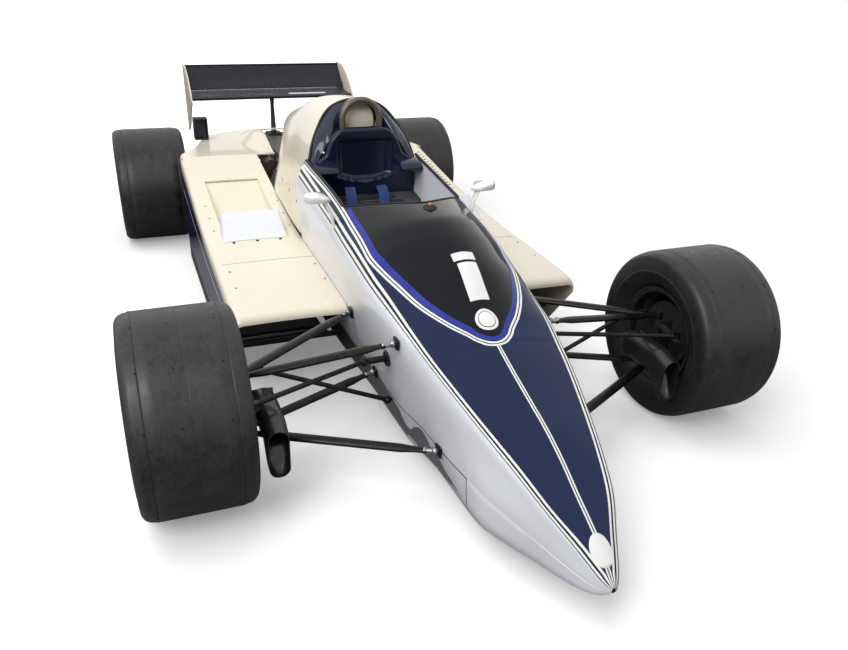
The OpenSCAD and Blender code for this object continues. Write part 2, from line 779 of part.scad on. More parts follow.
// Stub axle, post and kingpin of the left front wheel
module front_upright() {
    face_x = front_wheel_x + hub_inner - 6;
    x0 = kingpin_x - 14;
    low = lower_ball_z + eye_h / 2 + post_gap;
    top = upper_ball_z - eye_h / 2 - post_gap;
    stub_x = front_wheel_x + front_rim_half - web_inset - stub_end_gap;
    translate([x0, -28, low]) cube([face_x - x0, 56, top - low]);
    translate([kingpin_x, 0, lower_ball_z - 12])
        cylinder(r = kingpin_r, h = upper_ball_z - lower_ball_z + 24);
    bar([kingpin_x, 0, front_hub_z], [stub_x, 0, front_hub_z], stub_r);
    difference() {
        translate([face_x - 26, 20, front_hub_z - 45]) cube([77, 108, 90]);
        translate([face_x - 1, 0, front_hub_z])
            rotate([0, 90, 0]) cylinder(r = disc_r + 6, h = disc_t + 12 + 1);
        translate([face_x - 1, -1, front_hub_z - 50]) cube([80, 61, 100]);
        bar([face_x - 1, 0, front_hub_z], [face_x + 80, 0, front_hub_z], 58);
    }
    side_arm = [[x0, -20], [x0 + 20, -20], [steer_ball_x + 14, -steer_arm_l],
                [steer_ball_x, -steer_arm_l - 14], [steer_ball_x - 14, -steer_arm_l]];
    translate([0, 0, steer_plate_z]) linear_extrude(steer_plate_t) polygon(side_arm);
}

module front_upright_left() {
    color(bare_metal) car() front_upright();
}

module front_upright_right() {
    color(bare_metal) car() mirror([1, 0, 0]) front_upright();
}

duct_z0 = 228;
duct_z1 = 335;

module brake_duct() {
    x0 = kingpin_x - 122;
    x1 = kingpin_x - 14 - seat_gap;
    difference() {
        union() {
            side_plate([[-215, 135], [-175, 150], [-152, duct_z0], [25, duct_z0], [25, duct_z1],
                        [-150, duct_z1], [-215, 318]], x0, x0 + 72);
            translate([x0 + 60, -25, duct_z0]) cube([x1 - x0 - 60, 50, duct_z1 - duct_z0]);
        }
        side_plate([[-216, 143], [-182, 157], [-159, duct_z0 + 6], [0, duct_z0 + 6],
                    [0, duct_z1 - 6], [-151, duct_z1 - 6], [-216, 311]], x0 + 5, x0 + 67);
    }
}

module brake_duct_left() {
    color(black) car() brake_duct();
}

module brake_duct_right() {
    color(black) car() mirror([1, 0, 0]) brake_duct();
}

// Rack bar with a tie rod at each end
module steering_rack() {
    color(bare_metal) car() {
        translate([-tie_inner_x, rack_y, rack_z])
            rotate([0, 90, 0]) cylinder(r = rack_r, h = 2 * tie_inner_x);
        both_sides() {
            translate([tie_inner_x, rack_y, rack_z]) rotate([0, 0, 90]) sphere(r = 16);
            bar([tie_inner_x, rack_y, rack_z], [steer_ball_x, -steer_arm_l, tie_z], 8);
            translate([steer_ball_x, -steer_arm_l, tie_z - tie_eye_h / 2])
                cylinder(r = 13, h = tie_eye_h);
        }
    }
}

rear_face_x = rear_wheel_x - 150;

// Rear wishbones of one side, from the gearbox's side to the upright's inner face
module rear_wishbone_pair() {
    for (leg = [[-260, 205, 215], [165, 205, 215], [-240, 455, 440], [160, 455, 440]]) {
        y = wheelbase + leg[0];
        bar([gearbox_half_w, y, leg[1]], [gearbox_half_w + 18, y, leg[1]], 15);
        bar([gearbox_half_w + 14, y, leg[1]], [rear_face_x - 16, wheelbase, leg[2]], arm_r);
        bar([rear_face_x - 24, wheelbase, leg[2]], [rear_face_x, wheelbase, leg[2]], 15);
    }
}

module rear_wishbones() {
    color(bare_metal) car() both_sides() rear_wishbone_pair();
}

module rear_uprights() {
    stub_x = rear_wheel_x + rear_rim_half - web_inset - stub_end_gap;
    color(bare_metal) car() both_sides() {
        translate([rear_face_x, wheelbase - 40, 196]) cube([44, 80, 262]);
        bar([rear_face_x + 20, wheelbase, rear_hub_z], [stub_x, wheelbase, rear_hub_z], stub_r);
    }
}

module drive_shafts() {
    color(black) car() both_sides() {
        x0 = gearbox_half_w;
        bar([x0, wheelbase, rear_hub_z], [rear_face_x, wheelbase, rear_hub_z], 15);
        bar([x0, wheelbase, rear_hub_z], [x0 + 70, wheelbase, rear_hub_z], 48);
        bar([rear_face_x - 70, wheelbase, rear_hub_z], [rear_face_x, wheelbase, rear_hub_z], 44);
    }
}

// ---------------------------------------------------------------- wheels

// Rim with lips, bead seats, a drop centre, a web, a hub and a brake disc
module rim(h) {
    bead = rim_lip_r - bead_drop;
    drop = rim_lip_r - barrel_drop;
    web = h - web_inset;
    rotate([0, 90, 0]) difference() {
        union() {
            rotate_extrude()
                polygon([[rim_lip_r, -h], [rim_lip_r, 8 - h], [bead, 14 - h], [bead, 45 - h],
                         [drop, 70 - h], [drop, h - 70], [bead, h - 45], [bead, h - 14],
                         [rim_lip_r, h - 8], [rim_lip_r, h], [rim_lip_r - 6, h],
                         [bead - rim_t, h - 10], [bead - rim_t, h - 48], [drop - rim_t, h - 73],
                         [drop - rim_t, 73 - h], [bead - rim_t, 48 - h], [bead - rim_t, 10 - h],
                         [rim_lip_r - 6, -h]]);
            translate([0, 0, web]) cylinder(r = drop - rim_t / 2, h = web_t);
            translate([0, 0, hub_inner]) cylinder(r = hub_r, h = web - hub_inner + web_t);
            translate([0, 0, hub_inner + 2]) cylinder(r = disc_r, h = disc_t);
            translate([0, 0, web + web_t]) cylinder(r = nut_r, h = nut_l, $fn = 6);
        }
        translate([0, 0, hub_inner - 1]) cylinder(r = stub_r + stub_play, h = web - hub_inner + 1);
    }
}

// Turned outline of a slick tyre of outer radius r and width w on a rim half as wide as h
module tyre(r, w, h) {
    bead = rim_lip_r - bead_drop + seat_gap;
    round_r = 34;
    shoulder = [for (a = [0 : 15 : 90])
        [r - round_r + round_r * sin(a), w / 2 - round_r * (1 - cos(a)) * 1.0]];
    half = concat([[bead, h - 16], [rim_lip_r + 2, h - 10], [rim_lip_r + 8, h],
                   [rim_lip_r + 26, w / 2 - 3]], shoulder);
    rotate([0, 90, 0]) rotate_extrude()
        polygon(concat(half, [for (p = reversed(half)) [p[0], -p[1]]]));
}

module at_front_wheel() {
    car() translate([front_wheel_x, 0, front_hub_z]) children();
}

module at_rear_wheel() {
    car() translate([rear_wheel_x, wheelbase, rear_hub_z]) children();
}

module rim_front_left() {
    color("dimgray") at_front_wheel() rim(front_rim_half);
}

module rim_front_right() {
    color("dimgray") mirror([1, 0, 0]) at_front_wheel() rim(front_rim_half);
}

module rim_rear_left() {
    color("dimgray") at_rear_wheel() rim(rear_rim_half);
}

module rim_rear_right() {
    color("dimgray") mirror([1, 0, 0]) at_rear_wheel() rim(rear_rim_half);
}

module tyre_front_left() {
    color(black) at_front_wheel() tyre(front_tyre_d / 2, front_tyre_w, front_rim_half);
}

module tyre_front_right() {
    color(black) mirror([1, 0, 0]) at_front_wheel()
        tyre(front_tyre_d / 2, front_tyre_w, front_rim_half);
}

module tyre_rear_left() {
    color(black) at_rear_wheel() tyre(rear_tyre_d / 2, rear_tyre_w, rear_rim_half);
}

module tyre_rear_right() {
    color(black) mirror([1, 0, 0]) at_rear_wheel()
        tyre(rear_tyre_d / 2, rear_tyre_w, rear_rim_half);
}

monocoque();
nose_cowl();
cockpit_cowl();
windscreen();
dashboard();
seat();
headrest();
roll_hoop();
engine_cover();
rear_deck();
sidepod_left();
sidepod_right();
radiators();
radiator_flaps();
skirts();
underfloor();
mirrors();
oil_cooler_scoop();
engine();
gearbox();
exhaust();
rear_wing();
rear_wing_flap();
wing_endplates();
wing_post();
front_upper_wishbones();
front_lower_wishbones();
front_pull_rods();
rear_wishbones();
rear_uprights();
drive_shafts();
steering_wheel();
steering_rack();
front_upright_left();
front_upright_right();
brake_duct_left();
brake_duct_right();
rim_front_left();
rim_front_right();
rim_rear_left();
rim_rear_right();
tyre_front_left();
tyre_front_right();
tyre_rear_left();
tyre_rear_right();
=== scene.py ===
"""Looks of an open wheel racing car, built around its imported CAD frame."""

import logging
import math
from contextlib import contextmanager
from dataclasses import dataclass
from enum import Enum
from typing import Any, Callable, Iterator, Optional, Sequence

import bpy
import numpy as np
from mathutils import Matrix, Vector


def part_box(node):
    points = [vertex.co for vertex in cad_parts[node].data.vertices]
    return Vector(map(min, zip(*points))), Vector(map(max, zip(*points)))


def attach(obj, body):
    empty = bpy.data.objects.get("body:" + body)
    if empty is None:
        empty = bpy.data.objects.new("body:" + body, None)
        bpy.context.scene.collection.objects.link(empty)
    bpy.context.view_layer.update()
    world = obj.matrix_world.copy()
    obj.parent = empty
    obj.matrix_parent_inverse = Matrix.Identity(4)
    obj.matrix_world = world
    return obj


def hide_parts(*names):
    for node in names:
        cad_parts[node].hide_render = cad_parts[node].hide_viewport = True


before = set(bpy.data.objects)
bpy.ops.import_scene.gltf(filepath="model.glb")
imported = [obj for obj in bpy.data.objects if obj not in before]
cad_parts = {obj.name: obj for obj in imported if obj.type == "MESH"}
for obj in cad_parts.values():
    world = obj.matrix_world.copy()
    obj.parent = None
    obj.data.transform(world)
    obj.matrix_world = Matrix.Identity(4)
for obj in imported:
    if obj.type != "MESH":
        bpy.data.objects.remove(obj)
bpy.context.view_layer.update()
LOG = logging.getLogger("racing_car")
MM = 0.001
Point = Sequence[float]
Nodes = bpy.types.NodeTree
Obj = bpy.types.Object
Socket = bpy.types.NodeSocket


def middle(name: str) -> Vector:
    """Returns the middle of a CAD node's box."""
    low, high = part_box(name)
    return (low + high) / 2


FRONT_AXLE = middle("tyre_front_left").y
REAR_AXLE = middle("tyre_rear_left").y
WHEELBASE = (REAR_AXLE - FRONT_AXLE) / MM
BULKHEAD = (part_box("cockpit_cowl")[1].y - FRONT_AXLE) / MM
NOSE_TIP = (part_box("nose_cowl")[0].y - FRONT_AXLE) / MM
COWL_FRONT = (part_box("cockpit_cowl")[0].y - FRONT_AXLE) / MM
POD_REAR = (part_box("sidepod_left")[1].y - FRONT_AXLE) / MM


def car(x: float, y: float, z: float) -> tuple[float, float, float]:
    """Place in the frame, in metres, of a point in mm counted from the front axle.

    Args:
        x: mm to the car's left.
        y: mm behind the front axle.
        z: mm above the ground.

    Returns:
        The point in metres.
    """
    return (x * MM, FRONT_AXLE + y * MM, z * MM)


# ------------------------------------------------------------------ shapes


class Line:
    """Smooth line through measured stations, without overshoot."""

    def __init__(self, points: Sequence[Point]) -> None:
        """Fits the slopes of the line.

        Args:
            points: [station, value] pairs in rising order of station.
        """
        self.at = np.array([p[0] for p in points], float)
        self.value = np.array([p[1] for p in points], float)
        step = np.diff(self.at)
        rise = np.diff(self.value) / step
        slope = np.zeros(len(points))
        slope[0], slope[-1] = rise[0], rise[-1]
        for i in range(1, len(points) - 1):
            if rise[i - 1] * rise[i] > 0:
                before = 2 * step[i] + step[i - 1]
                after = step[i] + 2 * step[i - 1]
                slope[i] = (before + after) / (before / rise[i - 1] + after / rise[i])
        self.slope = slope

    def __call__(self, at: float) -> float:
        """Returns the value at a station, held level beyond the ends."""
        at = clamp(at, self.at[0], self.at[-1])
        i = int(clamp(np.searchsorted(self.at, at) - 1, 0, len(self.at) - 2))
        step = self.at[i + 1] - self.at[i]
        t = (at - self.at[i]) / step
        a, b = self.value[i], self.value[i + 1]
        m, n = self.slope[i] * step, self.slope[i + 1] * step
        return float((2 * t**3 - 3 * t**2 + 1) * a + (t**3 - 2 * t**2 + t) * m
                     + (3 * t**2 - 2 * t**3) * b + (t**3 - t**2) * n)


def mix(a: float, b: float, t: float) -> float:
    """Returns the value at share t of the way from a to b."""
    return a + (b - a) * t


def clamp(value: float, low: float = 0.0, high: float = 1.0) -> float:
    """Returns the value held between two limits."""
    return min(max(value, low), high)


def ease(t: float) -> float:
    """Returns a share from 0 to 1 eased at both ends."""
    return t * t * (3 - 2 * t)


def fall(t: float) -> float:
    """Returns how far a quarter circle has fallen at a share of its radius."""
    return 1 - math.sqrt(max(0.0, 1 - t * t))


def spread(*stops: tuple[float, int]) -> list[float]:
    """Lists values between stops.

    Args:
        stops: (value, steps taken from the stop before) pairs.

    Returns:
        The values, each stop included once.
    """
    out = [stops[0][0]]
    for (a, _), (b, count) in zip(stops, stops[1:]):
        out += [mix(a, b, (i + 1) / count) for i in range(count)]
    return out


def refine(points: Sequence, times: int, axis: int = 0) -> np.ndarray:
    """Adds points along smooth curves through a grid of points.

    Args:
        points: An array of points, the last axis x, y, z.
        times: How many steps take the place of each one.
        axis: The axis of the grid to refine.

    Returns:
        The finer array.
    """
    p = np.moveaxis(np.asarray(points, float), axis, 0)
    ends = np.concatenate([[2 * p[0] - p[1]], p, [2 * p[-1] - p[-2]]])
    out = []
    for i in range(len(p) - 1):
        a, b, c, d = ends[i:i + 4]
        for k in range(times):
            t = k / times
            out.append(0.5 * (2 * b + (c - a) * t + (2 * a - 5 * b + 4 * c - d) * t**2
                              + (3 * b - a - 3 * c + d) * t**3))
    out.append(p[-1])
    return np.moveaxis(np.array(out), 0, axis)


def deselect() -> None:
    """Deselects every object."""
    bpy.ops.object.select_all(action="DESELECT")


def pick(obj: Obj) -> Obj:
    """Makes an object the only selected and active one, and returns it."""
    deselect()
    obj.select_set(True)
    bpy.context.view_layer.objects.active = obj
    return obj


def fresh(name: str) -> Obj:
    """Names the object that an operator has just made, and returns it."""
    obj = bpy.context.active_object
    obj.name = obj.data.name = name
    return obj


@contextmanager
def editing(obj: Obj, chosen: Optional[Sequence[bool]] = None,
            faces: bool = False) -> Iterator[None]:
    """Edit mode on one object.

    Args:
        obj: The object to edit.
        chosen: Whether each vertex starts selected, all where it isn't given.
        faces: Whether chosen goes by face and not by vertex.
    """
    kind = "FACE" if faces else "VERT"
    pick(obj)
    bpy.ops.object.mode_set(mode="EDIT")
    bpy.ops.mesh.select_mode(type=kind)
    bpy.ops.mesh.select_all(action="SELECT" if chosen is None else "DESELECT")
    if chosen is not None:
        bpy.ops.object.mode_set(mode="OBJECT")
        parts = obj.data.polygons if faces else obj.data.vertices
        parts.foreach_set("select", chosen)
        bpy.ops.object.mode_set(mode="EDIT")
        bpy.ops.mesh.select_mode(type=kind)
    yield
    bpy.ops.object.mode_set(mode="OBJECT")


def modify(obj: Obj, kind: str, **settings: Any) -> Obj:
    """Adds a modifier with its settings and applies it.

    Args:
        obj: The object to change.
        kind: Blender's name for the modifier type.
        settings: The modifier's own settings.

    Returns:
        The object.
    """
    pick(obj)
    modifier = obj.modifiers.new(kind.lower(), kind)
    for key, value in settings.items():
        setattr(modifier, key, value)
    bpy.ops.object.modifier_apply(modifier=modifier.name)
    return obj


def thicken(obj: Obj, thickness: float, offset: float = -1.0) -> Obj:
    """Gives a skin its thickness in metres, by default inwards, and returns it."""
    return modify(obj, "SOLIDIFY", thickness=thickness, offset=offset)


def round_edges(obj: Obj, width: float, segments: int = 2) -> Obj:
    """Rounds an object's sharp edges by a width in metres, and returns it."""
    return modify(obj, "BEVEL", width=width, segments=segments, limit_method="ANGLE")


def smooth(obj: Obj, angle: float = 40.0) -> Obj:
    """Shades an object smooth up to an angle in degrees, and returns it."""
    pick(obj)
    bpy.ops.object.shade_smooth_by_angle(angle=math.radians(angle))
    return obj


def tidy(obj: Obj, merge: float = 0.00004, outward: bool = True, fill: bool = False) -> Obj:
    """Merges doubled vertices, closes open ends and turns faces outward.

    Args:
        obj: The object to clean.
        merge: Distance within which vertices are merged, in metres.
        outward: Whether normals are recalculated.
        fill: Whether open boundaries are closed.

    Returns:
        The object.
    """
    with editing(obj):
        bpy.ops.mesh.remove_doubles(threshold=merge)
        if fill:
            bpy.ops.mesh.fill_holes(sides=0)
            bpy.ops.mesh.select_all(action="SELECT")
        if outward:
            bpy.ops.mesh.normals_make_consistent(inside=False)
    return obj


def settle(obj: Obj) -> Obj:
    """Puts an object's place, turn and scale into its mesh, and returns it."""
    pick(obj)
    bpy.ops.object.transform_apply(location=True, rotation=True, scale=True)
    return obj


def sheet(name: str, rows: Sequence, bands: Optional[Callable[[int, int], int]] = None,
          keep: Optional[Callable[[int, int], bool]] = None) -> Obj:
    """A grid primitive laid through rows of points.

    Args:
        name: The piece's name.
        rows: Rows of points in metres, all of one length.
        bands: Gives the material index of the face at (row, column).
        keep: Tells whether the face at (row, column) stays.

    Returns:
        The object, with faces toward column direction x row direction.
    """
    grid = np.asarray(rows, float)
    high, wide = grid.shape[:2]
    deselect()
    bpy.ops.mesh.primitive_grid_add(x_subdivisions=wide - 1, y_subdivisions=high - 1, size=2)
    obj = fresh(name)
    mesh = obj.data
    flat = np.empty(len(mesh.vertices) * 3)
    mesh.vertices.foreach_get("co", flat)
    flat = flat.reshape(-1, 3)
    column = np.rint((flat[:, 0] + 1) / 2 * (wide - 1)).astype(int)
    row = np.rint((flat[:, 1] + 1) / 2 * (high - 1)).astype(int)
    faces = [((p.center.y + 1) / 2 * (high - 1), (p.center.x + 1) / 2 * (wide - 1))
             for p in mesh.polygons]
    mesh.vertices.foreach_set("co", grid[row, column].ravel())
    if bands:
        for polygon, (r, c) in zip(mesh.polygons, faces):
            polygon.material_index = bands(int(r), int(c))
    if keep:
        with editing(obj, [not keep(int(r), int(c)) for r, c in faces], faces=True):
            bpy.ops.mesh.delete(type="FACE")
    mesh.update()
    return obj


def sweep(name: str, path: Sequence[Point], section: Sequence, up: Point = (0, 0, 1),
          closed: bool = False, scale: Optional[Sequence[float]] = None) -> Obj:
    """Carries a closed section along a path.

    Args:
        name: The piece's name.
        path: Points of the path, in metres.
        section: [across, upward] points of the section, in metres.
        up: Direction that the section's second axis leans to.
        closed: Whether the path joins its own start.
        scale: Size of the section at each point of the path.

    Returns:
        The closed object.
    """
    p = [Vector(q) for q in path]
    rows = []
    for i, at in enumerate(p):
        ahead = p[(i + 1) % len(p)] if closed else p[min(i + 1, len(p) - 1)]
        behind = p[i - 1] if closed or i else p[0]
        along = (ahead - behind).normalized()
        across = along.cross(Vector(up)).normalized()
        lift = across.cross(along)
        s = scale[i] if scale is not None else 1.0
        rows.append([at + across * (a * s) + lift * (b * s)
                     for a, b in list(section) + [section[0]]])
    if closed:
        rows.append(rows[0])
    return tidy(sheet(name, [[tuple(q) for q in r] for r in rows]), fill=not closed)


def oval(wide: float, tall: float, count: int = 16) -> list[tuple[float, float]]:
    """Returns the points of an ellipse of the given half sizes."""
    return [(wide * math.cos(a), tall * math.sin(a))
            for a in (2 * math.pi * i / count for i in range(count))]


def spokes(count: int, start: float = 0.0) -> list[Vector]:
    """Lists directions spaced evenly round an axle.

    Args:
        count: How many directions.
        start: Share of a step that the first is turned by.

    Returns:
        The directions, each one unit long.
    """
    turns = (2 * math.pi * (k + start) / count for k in range(count))
    return [Vector((0, math.cos(a), math.sin(a))) for a in turns]


def rounded_box(wide: float, tall: float, radius: float,
                steps: int = 4) -> list[tuple[float, float]]:
    """Outline of a rectangle with round corners.

    Args:
        wide: Half its width.
        tall: Half its height.
        radius: Radius of its corners.
        steps: Steps in each corner.

    Returns:
        The points, in order round the outline.
    """
    out = []
    for cx, cy, start in ((1, 1, 0), (-1, 1, 90), (-1, -1, 180), (1, -1, 270)):
        for i in range(steps + 1):
            a = math.radians(start + 90 * i / steps)
            out.append((cx * (wide - radius) + radius * math.cos(a),
                        cy * (tall - radius) + radius * math.sin(a)))
    return out


def dense(outline: Sequence[Point], step: float) -> list[tuple[float, float]]:
    """Adds points along an outline's long edges.

    Args:
        outline: Its corners.
        step: Longest edge that stays whole.

    Returns:
        The outline with its edges split.
    """
    out = []
    for (ax, ay), (bx, by) in zip(outline, list(outline[1:]) + [outline[0]]):
        count = max(1, round(math.hypot(bx - ax, by - ay) / step))
        out += [(mix(ax, bx, i / count), mix(ay, by, i / count)) for i in range(count)]
    return out


def rod(name: str, a: Point, b: Point, wide: float, tall: float = 0.0, up: Point = (0, 0, 1),
        ends: float = 1.0) -> Obj:
    """Straight round or flattened rod between two points.

    Args:
        name: The piece's name.
        a: Its start, in metres.
        b: Its end.
        wide: Half its width.
        tall: Half its height, the width where it isn't given.
        up: Direction of its height.
        ends: Size of its ends beside its middle.

    Returns:
        The rod.
    """
    a, b = Vector(a), Vector(b)
    shares = [0, 0.06, 0.14, 0.5, 0.86, 0.94, 1]
    sizes = [ends, ends, 1, 1, 1, ends, ends]
    return sweep(name, [a.lerp(b, t) for t in shares], oval(wide, tall or wide, 16), up,
                 scale=sizes)


def turned(name: str, profile: Sequence[Point], centre: Point, axis: Point = (1, 0, 0),
           steps: int = 72, bands: Optional[Callable[[int, int], int]] = None) -> Obj:
    """Turns a profile round an axis, as on a lathe.

    Args:
        name: The piece's name.
        profile: [radius, place along the axis] points in metres.
        centre: A point of the axis.
        axis: Its direction.
        steps: Steps round.
        bands: Gives the material index of the face at (step, profile point).

    Returns:
        The turned object.
    """
    line = Vector(axis).normalized()
    side = line.orthogonal().normalized()
    other = line.cross(side)
    rows = []
    for i in range(steps + 1):
        a = 2 * math.pi * i / steps
        out = side * math.cos(a) + other * math.sin(a)
        rows.append([tuple(Vector(centre) + out * r + line * h) for r, h in profile])
    return tidy(sheet(name, rows, bands))


def ring(name: str, inner: float, outer: float, half: float, centre: Point,
         axis: Point = (0, 0, 1)) -> Obj:
    """Plain ring, such as an eye or a clamp, half being half its width along the axis."""
    profile = [(inner, -half), (outer, -half), (outer, half), (inner, half), (inner, -half)]
    return turned(name, profile, centre, axis, 32)


def block(name: str, low: Point, high: Point, bevel: float = 0.0, segments: int = 2) -> Obj:
    """Box between two corners, with its edges rounded.

    Args:
        name: The piece's name.
        low: Its lowest corner.
        high: Its highest corner.
        bevel: Width of the rounding.
        segments: Steps in the rounding.

    Returns:
        The block.
    """
    low, high = Vector(low), Vector(high)
    deselect()
    bpy.ops.mesh.primitive_cube_add(size=1, location=(low + high) / 2)
    obj = fresh(name)
    obj.scale = high - low
    settle(obj)
    return round_edges(obj, bevel, segments) if bevel else obj


def plate(name: str, outline: Sequence[Point], thick: Point, bevel: float = 0.0) -> Obj:
    """Flat plate extruded from an outline.

    Args:
        name: The piece's name.
        outline: Its corners, in metres.
        thick: The vector that it is extruded by.
        bevel: Width of the rounding of its edges.

    Returns:
        The plate.
    """
    deselect()
    bpy.ops.mesh.primitive_circle_add(vertices=len(outline), fill_type="NGON")
    obj = fresh(name)
    for vertex, at in zip(obj.data.vertices, outline):
        vertex.co = at
    with editing(obj):
        bpy.ops.mesh.extrude_region_move(TRANSFORM_OT_translate={"value": tuple(thick)})
    tidy(obj)
    return round_edges(obj, bevel) if bevel else obj


def cylinder(at: Point, radius: float, length: float, axis: Point, sides: int) -> Obj:
    """Plain cylinder.

    Args:
        at: Its middle.
        radius: Its radius.
        length: Its length.
        axis: Its direction.
        sides: Its count of sides.

    Returns:
        The cylinder.
    """
    deselect()
    turn = Vector((0, 0, 1)).rotation_difference(Vector(axis)).to_euler()
    bpy.ops.mesh.primitive_cylinder_add(vertices=sides, radius=radius, depth=length,
                                        location=at, rotation=turn)
    return settle(bpy.context.active_object)


def puck(at: Point, radius: float, height: float, axis: Point = (0, 0, 1), sides: int = 12) -> Obj:
    """Short bevelled cylinder, such as a bolt head.

    Args:
        at: Its middle.
        radius: Its radius.
        height: Its height.
        axis: Its direction.
        sides: Its count of sides.

    Returns:
        The puck.
    """
    return round_edges(cylinder(at, radius, height, axis, sides), min(radius, height) * 0.2, 1)


def join(name: str, parts: Sequence[Obj]) -> Obj:
    """Joins objects into one.

    Args:
        name: The joined piece's name.
        parts: The objects, the first of which gives the materials.

    Returns:
        The joined object.
    """
    deselect()
    for part in parts:
        mark = part.data.attributes.new("paint", "INT", "FACE")
        mark.data.foreach_set("value", [p.material_index for p in part.data.polygons])
        part.select_set(True)
    bpy.context.view_layer.objects.active = parts[0]
    if len(parts) > 1:
        bpy.ops.object.join()
    mesh = parts[0].data
    index = [0] * len(mesh.polygons)
    mesh.attributes["paint"].data.foreach_get("value", index)
    for polygon, i in zip(mesh.polygons, index):
        polygon.material_index = i
    mesh.attributes.remove(mesh.attributes["paint"])
    parts[0].name = mesh.name = name
    return parts[0]


def mirrored(obj: Obj, merge: float = 0.0) -> Obj:
    """Adds the other side of the car to a piece.

    Args:
        obj: The piece on one side.
        merge: Distance within which the halves join on the middle line.

    Returns:
        The object with both sides.
    """
    return modify(obj, "MIRROR", use_mirror_merge=merge > 0, merge_threshold=merge or 0.001)


def flipped(obj: Obj) -> Obj:
    """Moves a piece to the car's other side, and returns it."""
    obj.data.transform(Matrix.Scale(-1, 4, (1, 0, 0)))
    obj.data.flip_normals()
    return obj


# ------------------------------------------------------------------ finishes


def linear(colour: str) -> tuple[float, float, float, float]:
    """Turns an sRGB hex value to linear light.

    Args:
        colour: A value such as "#a0b1c2".

    Returns:
        Red, green, blue and an alpha of 1.
    """
    parts = [int(colour[i:i + 2], 16) / 255 for i in (1, 3, 5)]
    return (*[c / 12.92 if c <= 0.04045 else ((c + 0.055) / 1.055) ** 2.4 for c in parts], 1.0)


def add(tree: Nodes, kind: str, settings: Optional[dict] = None, **links: Any) -> bpy.types.Node:
    """Adds a node with its settings and links.

    Args:
        tree: The material's tree.
        kind: Blender's name for the node type.
        settings: Values of its properties and sockets, and "stops" for a ramp.
        links: Output sockets by the name of the input that they feed, _ for a space.

    Returns:
        The node.
    """
    made = tree.nodes.new(kind)
    for key, value in (settings or {}).items():
        if key == "stops":
            ramp = made.color_ramp.elements
            while len(ramp) < len(value):
                ramp.new(0.5)
            for stop, (place, colour) in zip(ramp, value):
                stop.position, stop.color = place, linear(colour)
        elif hasattr(made, key):
            setattr(made, key, value)
        else:
            made.inputs[key].default_value = value
    for key, socket in links.items():
        number = key[1:]
        place = int(number) if number.isdigit() else key.replace("_", " ")
        tree.links.new(socket, made.inputs[place])
    return made


def noise(tree: Nodes, place: Socket, size_mm: float, **settings: float) -> Socket:
    """Returns cloudy noise whose clouds are about size_mm across."""
    return add(tree, "ShaderNodeTexNoise", {"Scale": 1 / (size_mm * MM), **settings},
               Vector=place).outputs["Fac"]


def waves(tree: Nodes, place: Socket, size_mm: float, axis: str, distortion: float) -> Socket:
    """Returns bands across an axis that repeat every size_mm."""
    return add(tree, "ShaderNodeTexWave", {
        "bands_direction": axis, "Scale": math.pi / 10 / (size_mm * MM),
        "Distortion": distortion}, Vector=place).outputs["Fac"]


def combine(tree: Nodes, operation: str, a: Socket, b: Socket) -> Socket:
    """Returns the result of a mathematical operation on two sockets."""
    return add(tree, "ShaderNodeMath", {"operation": operation}, _0=a, _1=b).outputs["Value"]


def remap(tree: Nodes, value: Socket, to: Point = (0, 1), start: Point = (0, 1)) -> Socket:
    """Returns a value moved from one range to another."""
    return add(tree, "ShaderNodeMapRange", {
        "From Min": start[0], "From Max": start[1], "To Min": to[0], "To Max": to[1]},
        Value=value).outputs["Result"]


@dataclass(frozen=True)
class Finish:
    """A finish: a material's colours, gloss and grain at real sizes."""

    name: str
    colour: str
    shade: str
    cloud_mm: float
    roughness: float
    rough_spread: float = 0.04
    metallic: float = 0.0
    ior: float = 1.5
    coat: float = 0.0
    sheen: float = 0.0
    grain_mm: float = 4.0
    relief_mm: float = 0.0
    own_height = False  # whether the pattern itself stands up

    def pattern(self, tree: Nodes, place: Socket) -> Socket:
        """Gives the share of the second colour over the surface.

        Args:
            tree: The material's tree.
            place: Object coordinates in metres.

        Returns:
            A socket from 0 to 1.
        """
        clouds = noise(tree, place, self.cloud_mm, Detail=5.0, Roughness=0.6)
        return remap(tree, clouds, start=(0.35, 0.7))

    def relief(self, tree: Nodes, place: Socket, share: Socket) -> Socket:
        """Gives the height that the surface is raised by.

        Args:
            tree: The material's tree.
            place: Object coordinates in metres.
            share: The pattern's share.

        Returns:
            A height from 0 to 1.
        """
        if self.own_height:
            return share
        return noise(tree, place, self.grain_mm, Detail=3.0)

    def make(self) -> bpy.types.Material:
        """Builds the material.

        Returns:
            The material.
        """
        material = bpy.data.materials.new(self.name)
        material.use_nodes = True
        tree = material.node_tree
        shader = tree.nodes["Principled BSDF"]
        for key, value in (("Metallic", self.metallic), ("IOR", self.ior),
                           ("Coat Weight", self.coat), ("Coat Roughness", 0.04),
                           ("Sheen Weight", self.sheen)):
            shader.inputs[key].default_value = value
        place = add(tree, "ShaderNodeTexCoord").outputs["Object"]
        share = self.pattern(tree, place)
        ramp = add(tree, "ShaderNodeValToRGB", {"stops": [(0, self.colour), (1, self.shade)]},
                   Fac=share)
        gloss = remap(tree, share, (max(self.roughness - self.rough_spread, 0.02),
                                    min(self.roughness + self.rough_spread, 1.0)))
        tree.links.new(ramp.outputs["Color"], shader.inputs["Base Color"])
        tree.links.new(gloss, shader.inputs["Roughness"])
        if self.relief_mm:
            bump = add(tree, "ShaderNodeBump", {"Distance": self.relief_mm * MM},
                       Height=self.relief(tree, place, share))
            tree.links.new(bump.outputs["Normal"], shader.inputs["Normal"])
        return material


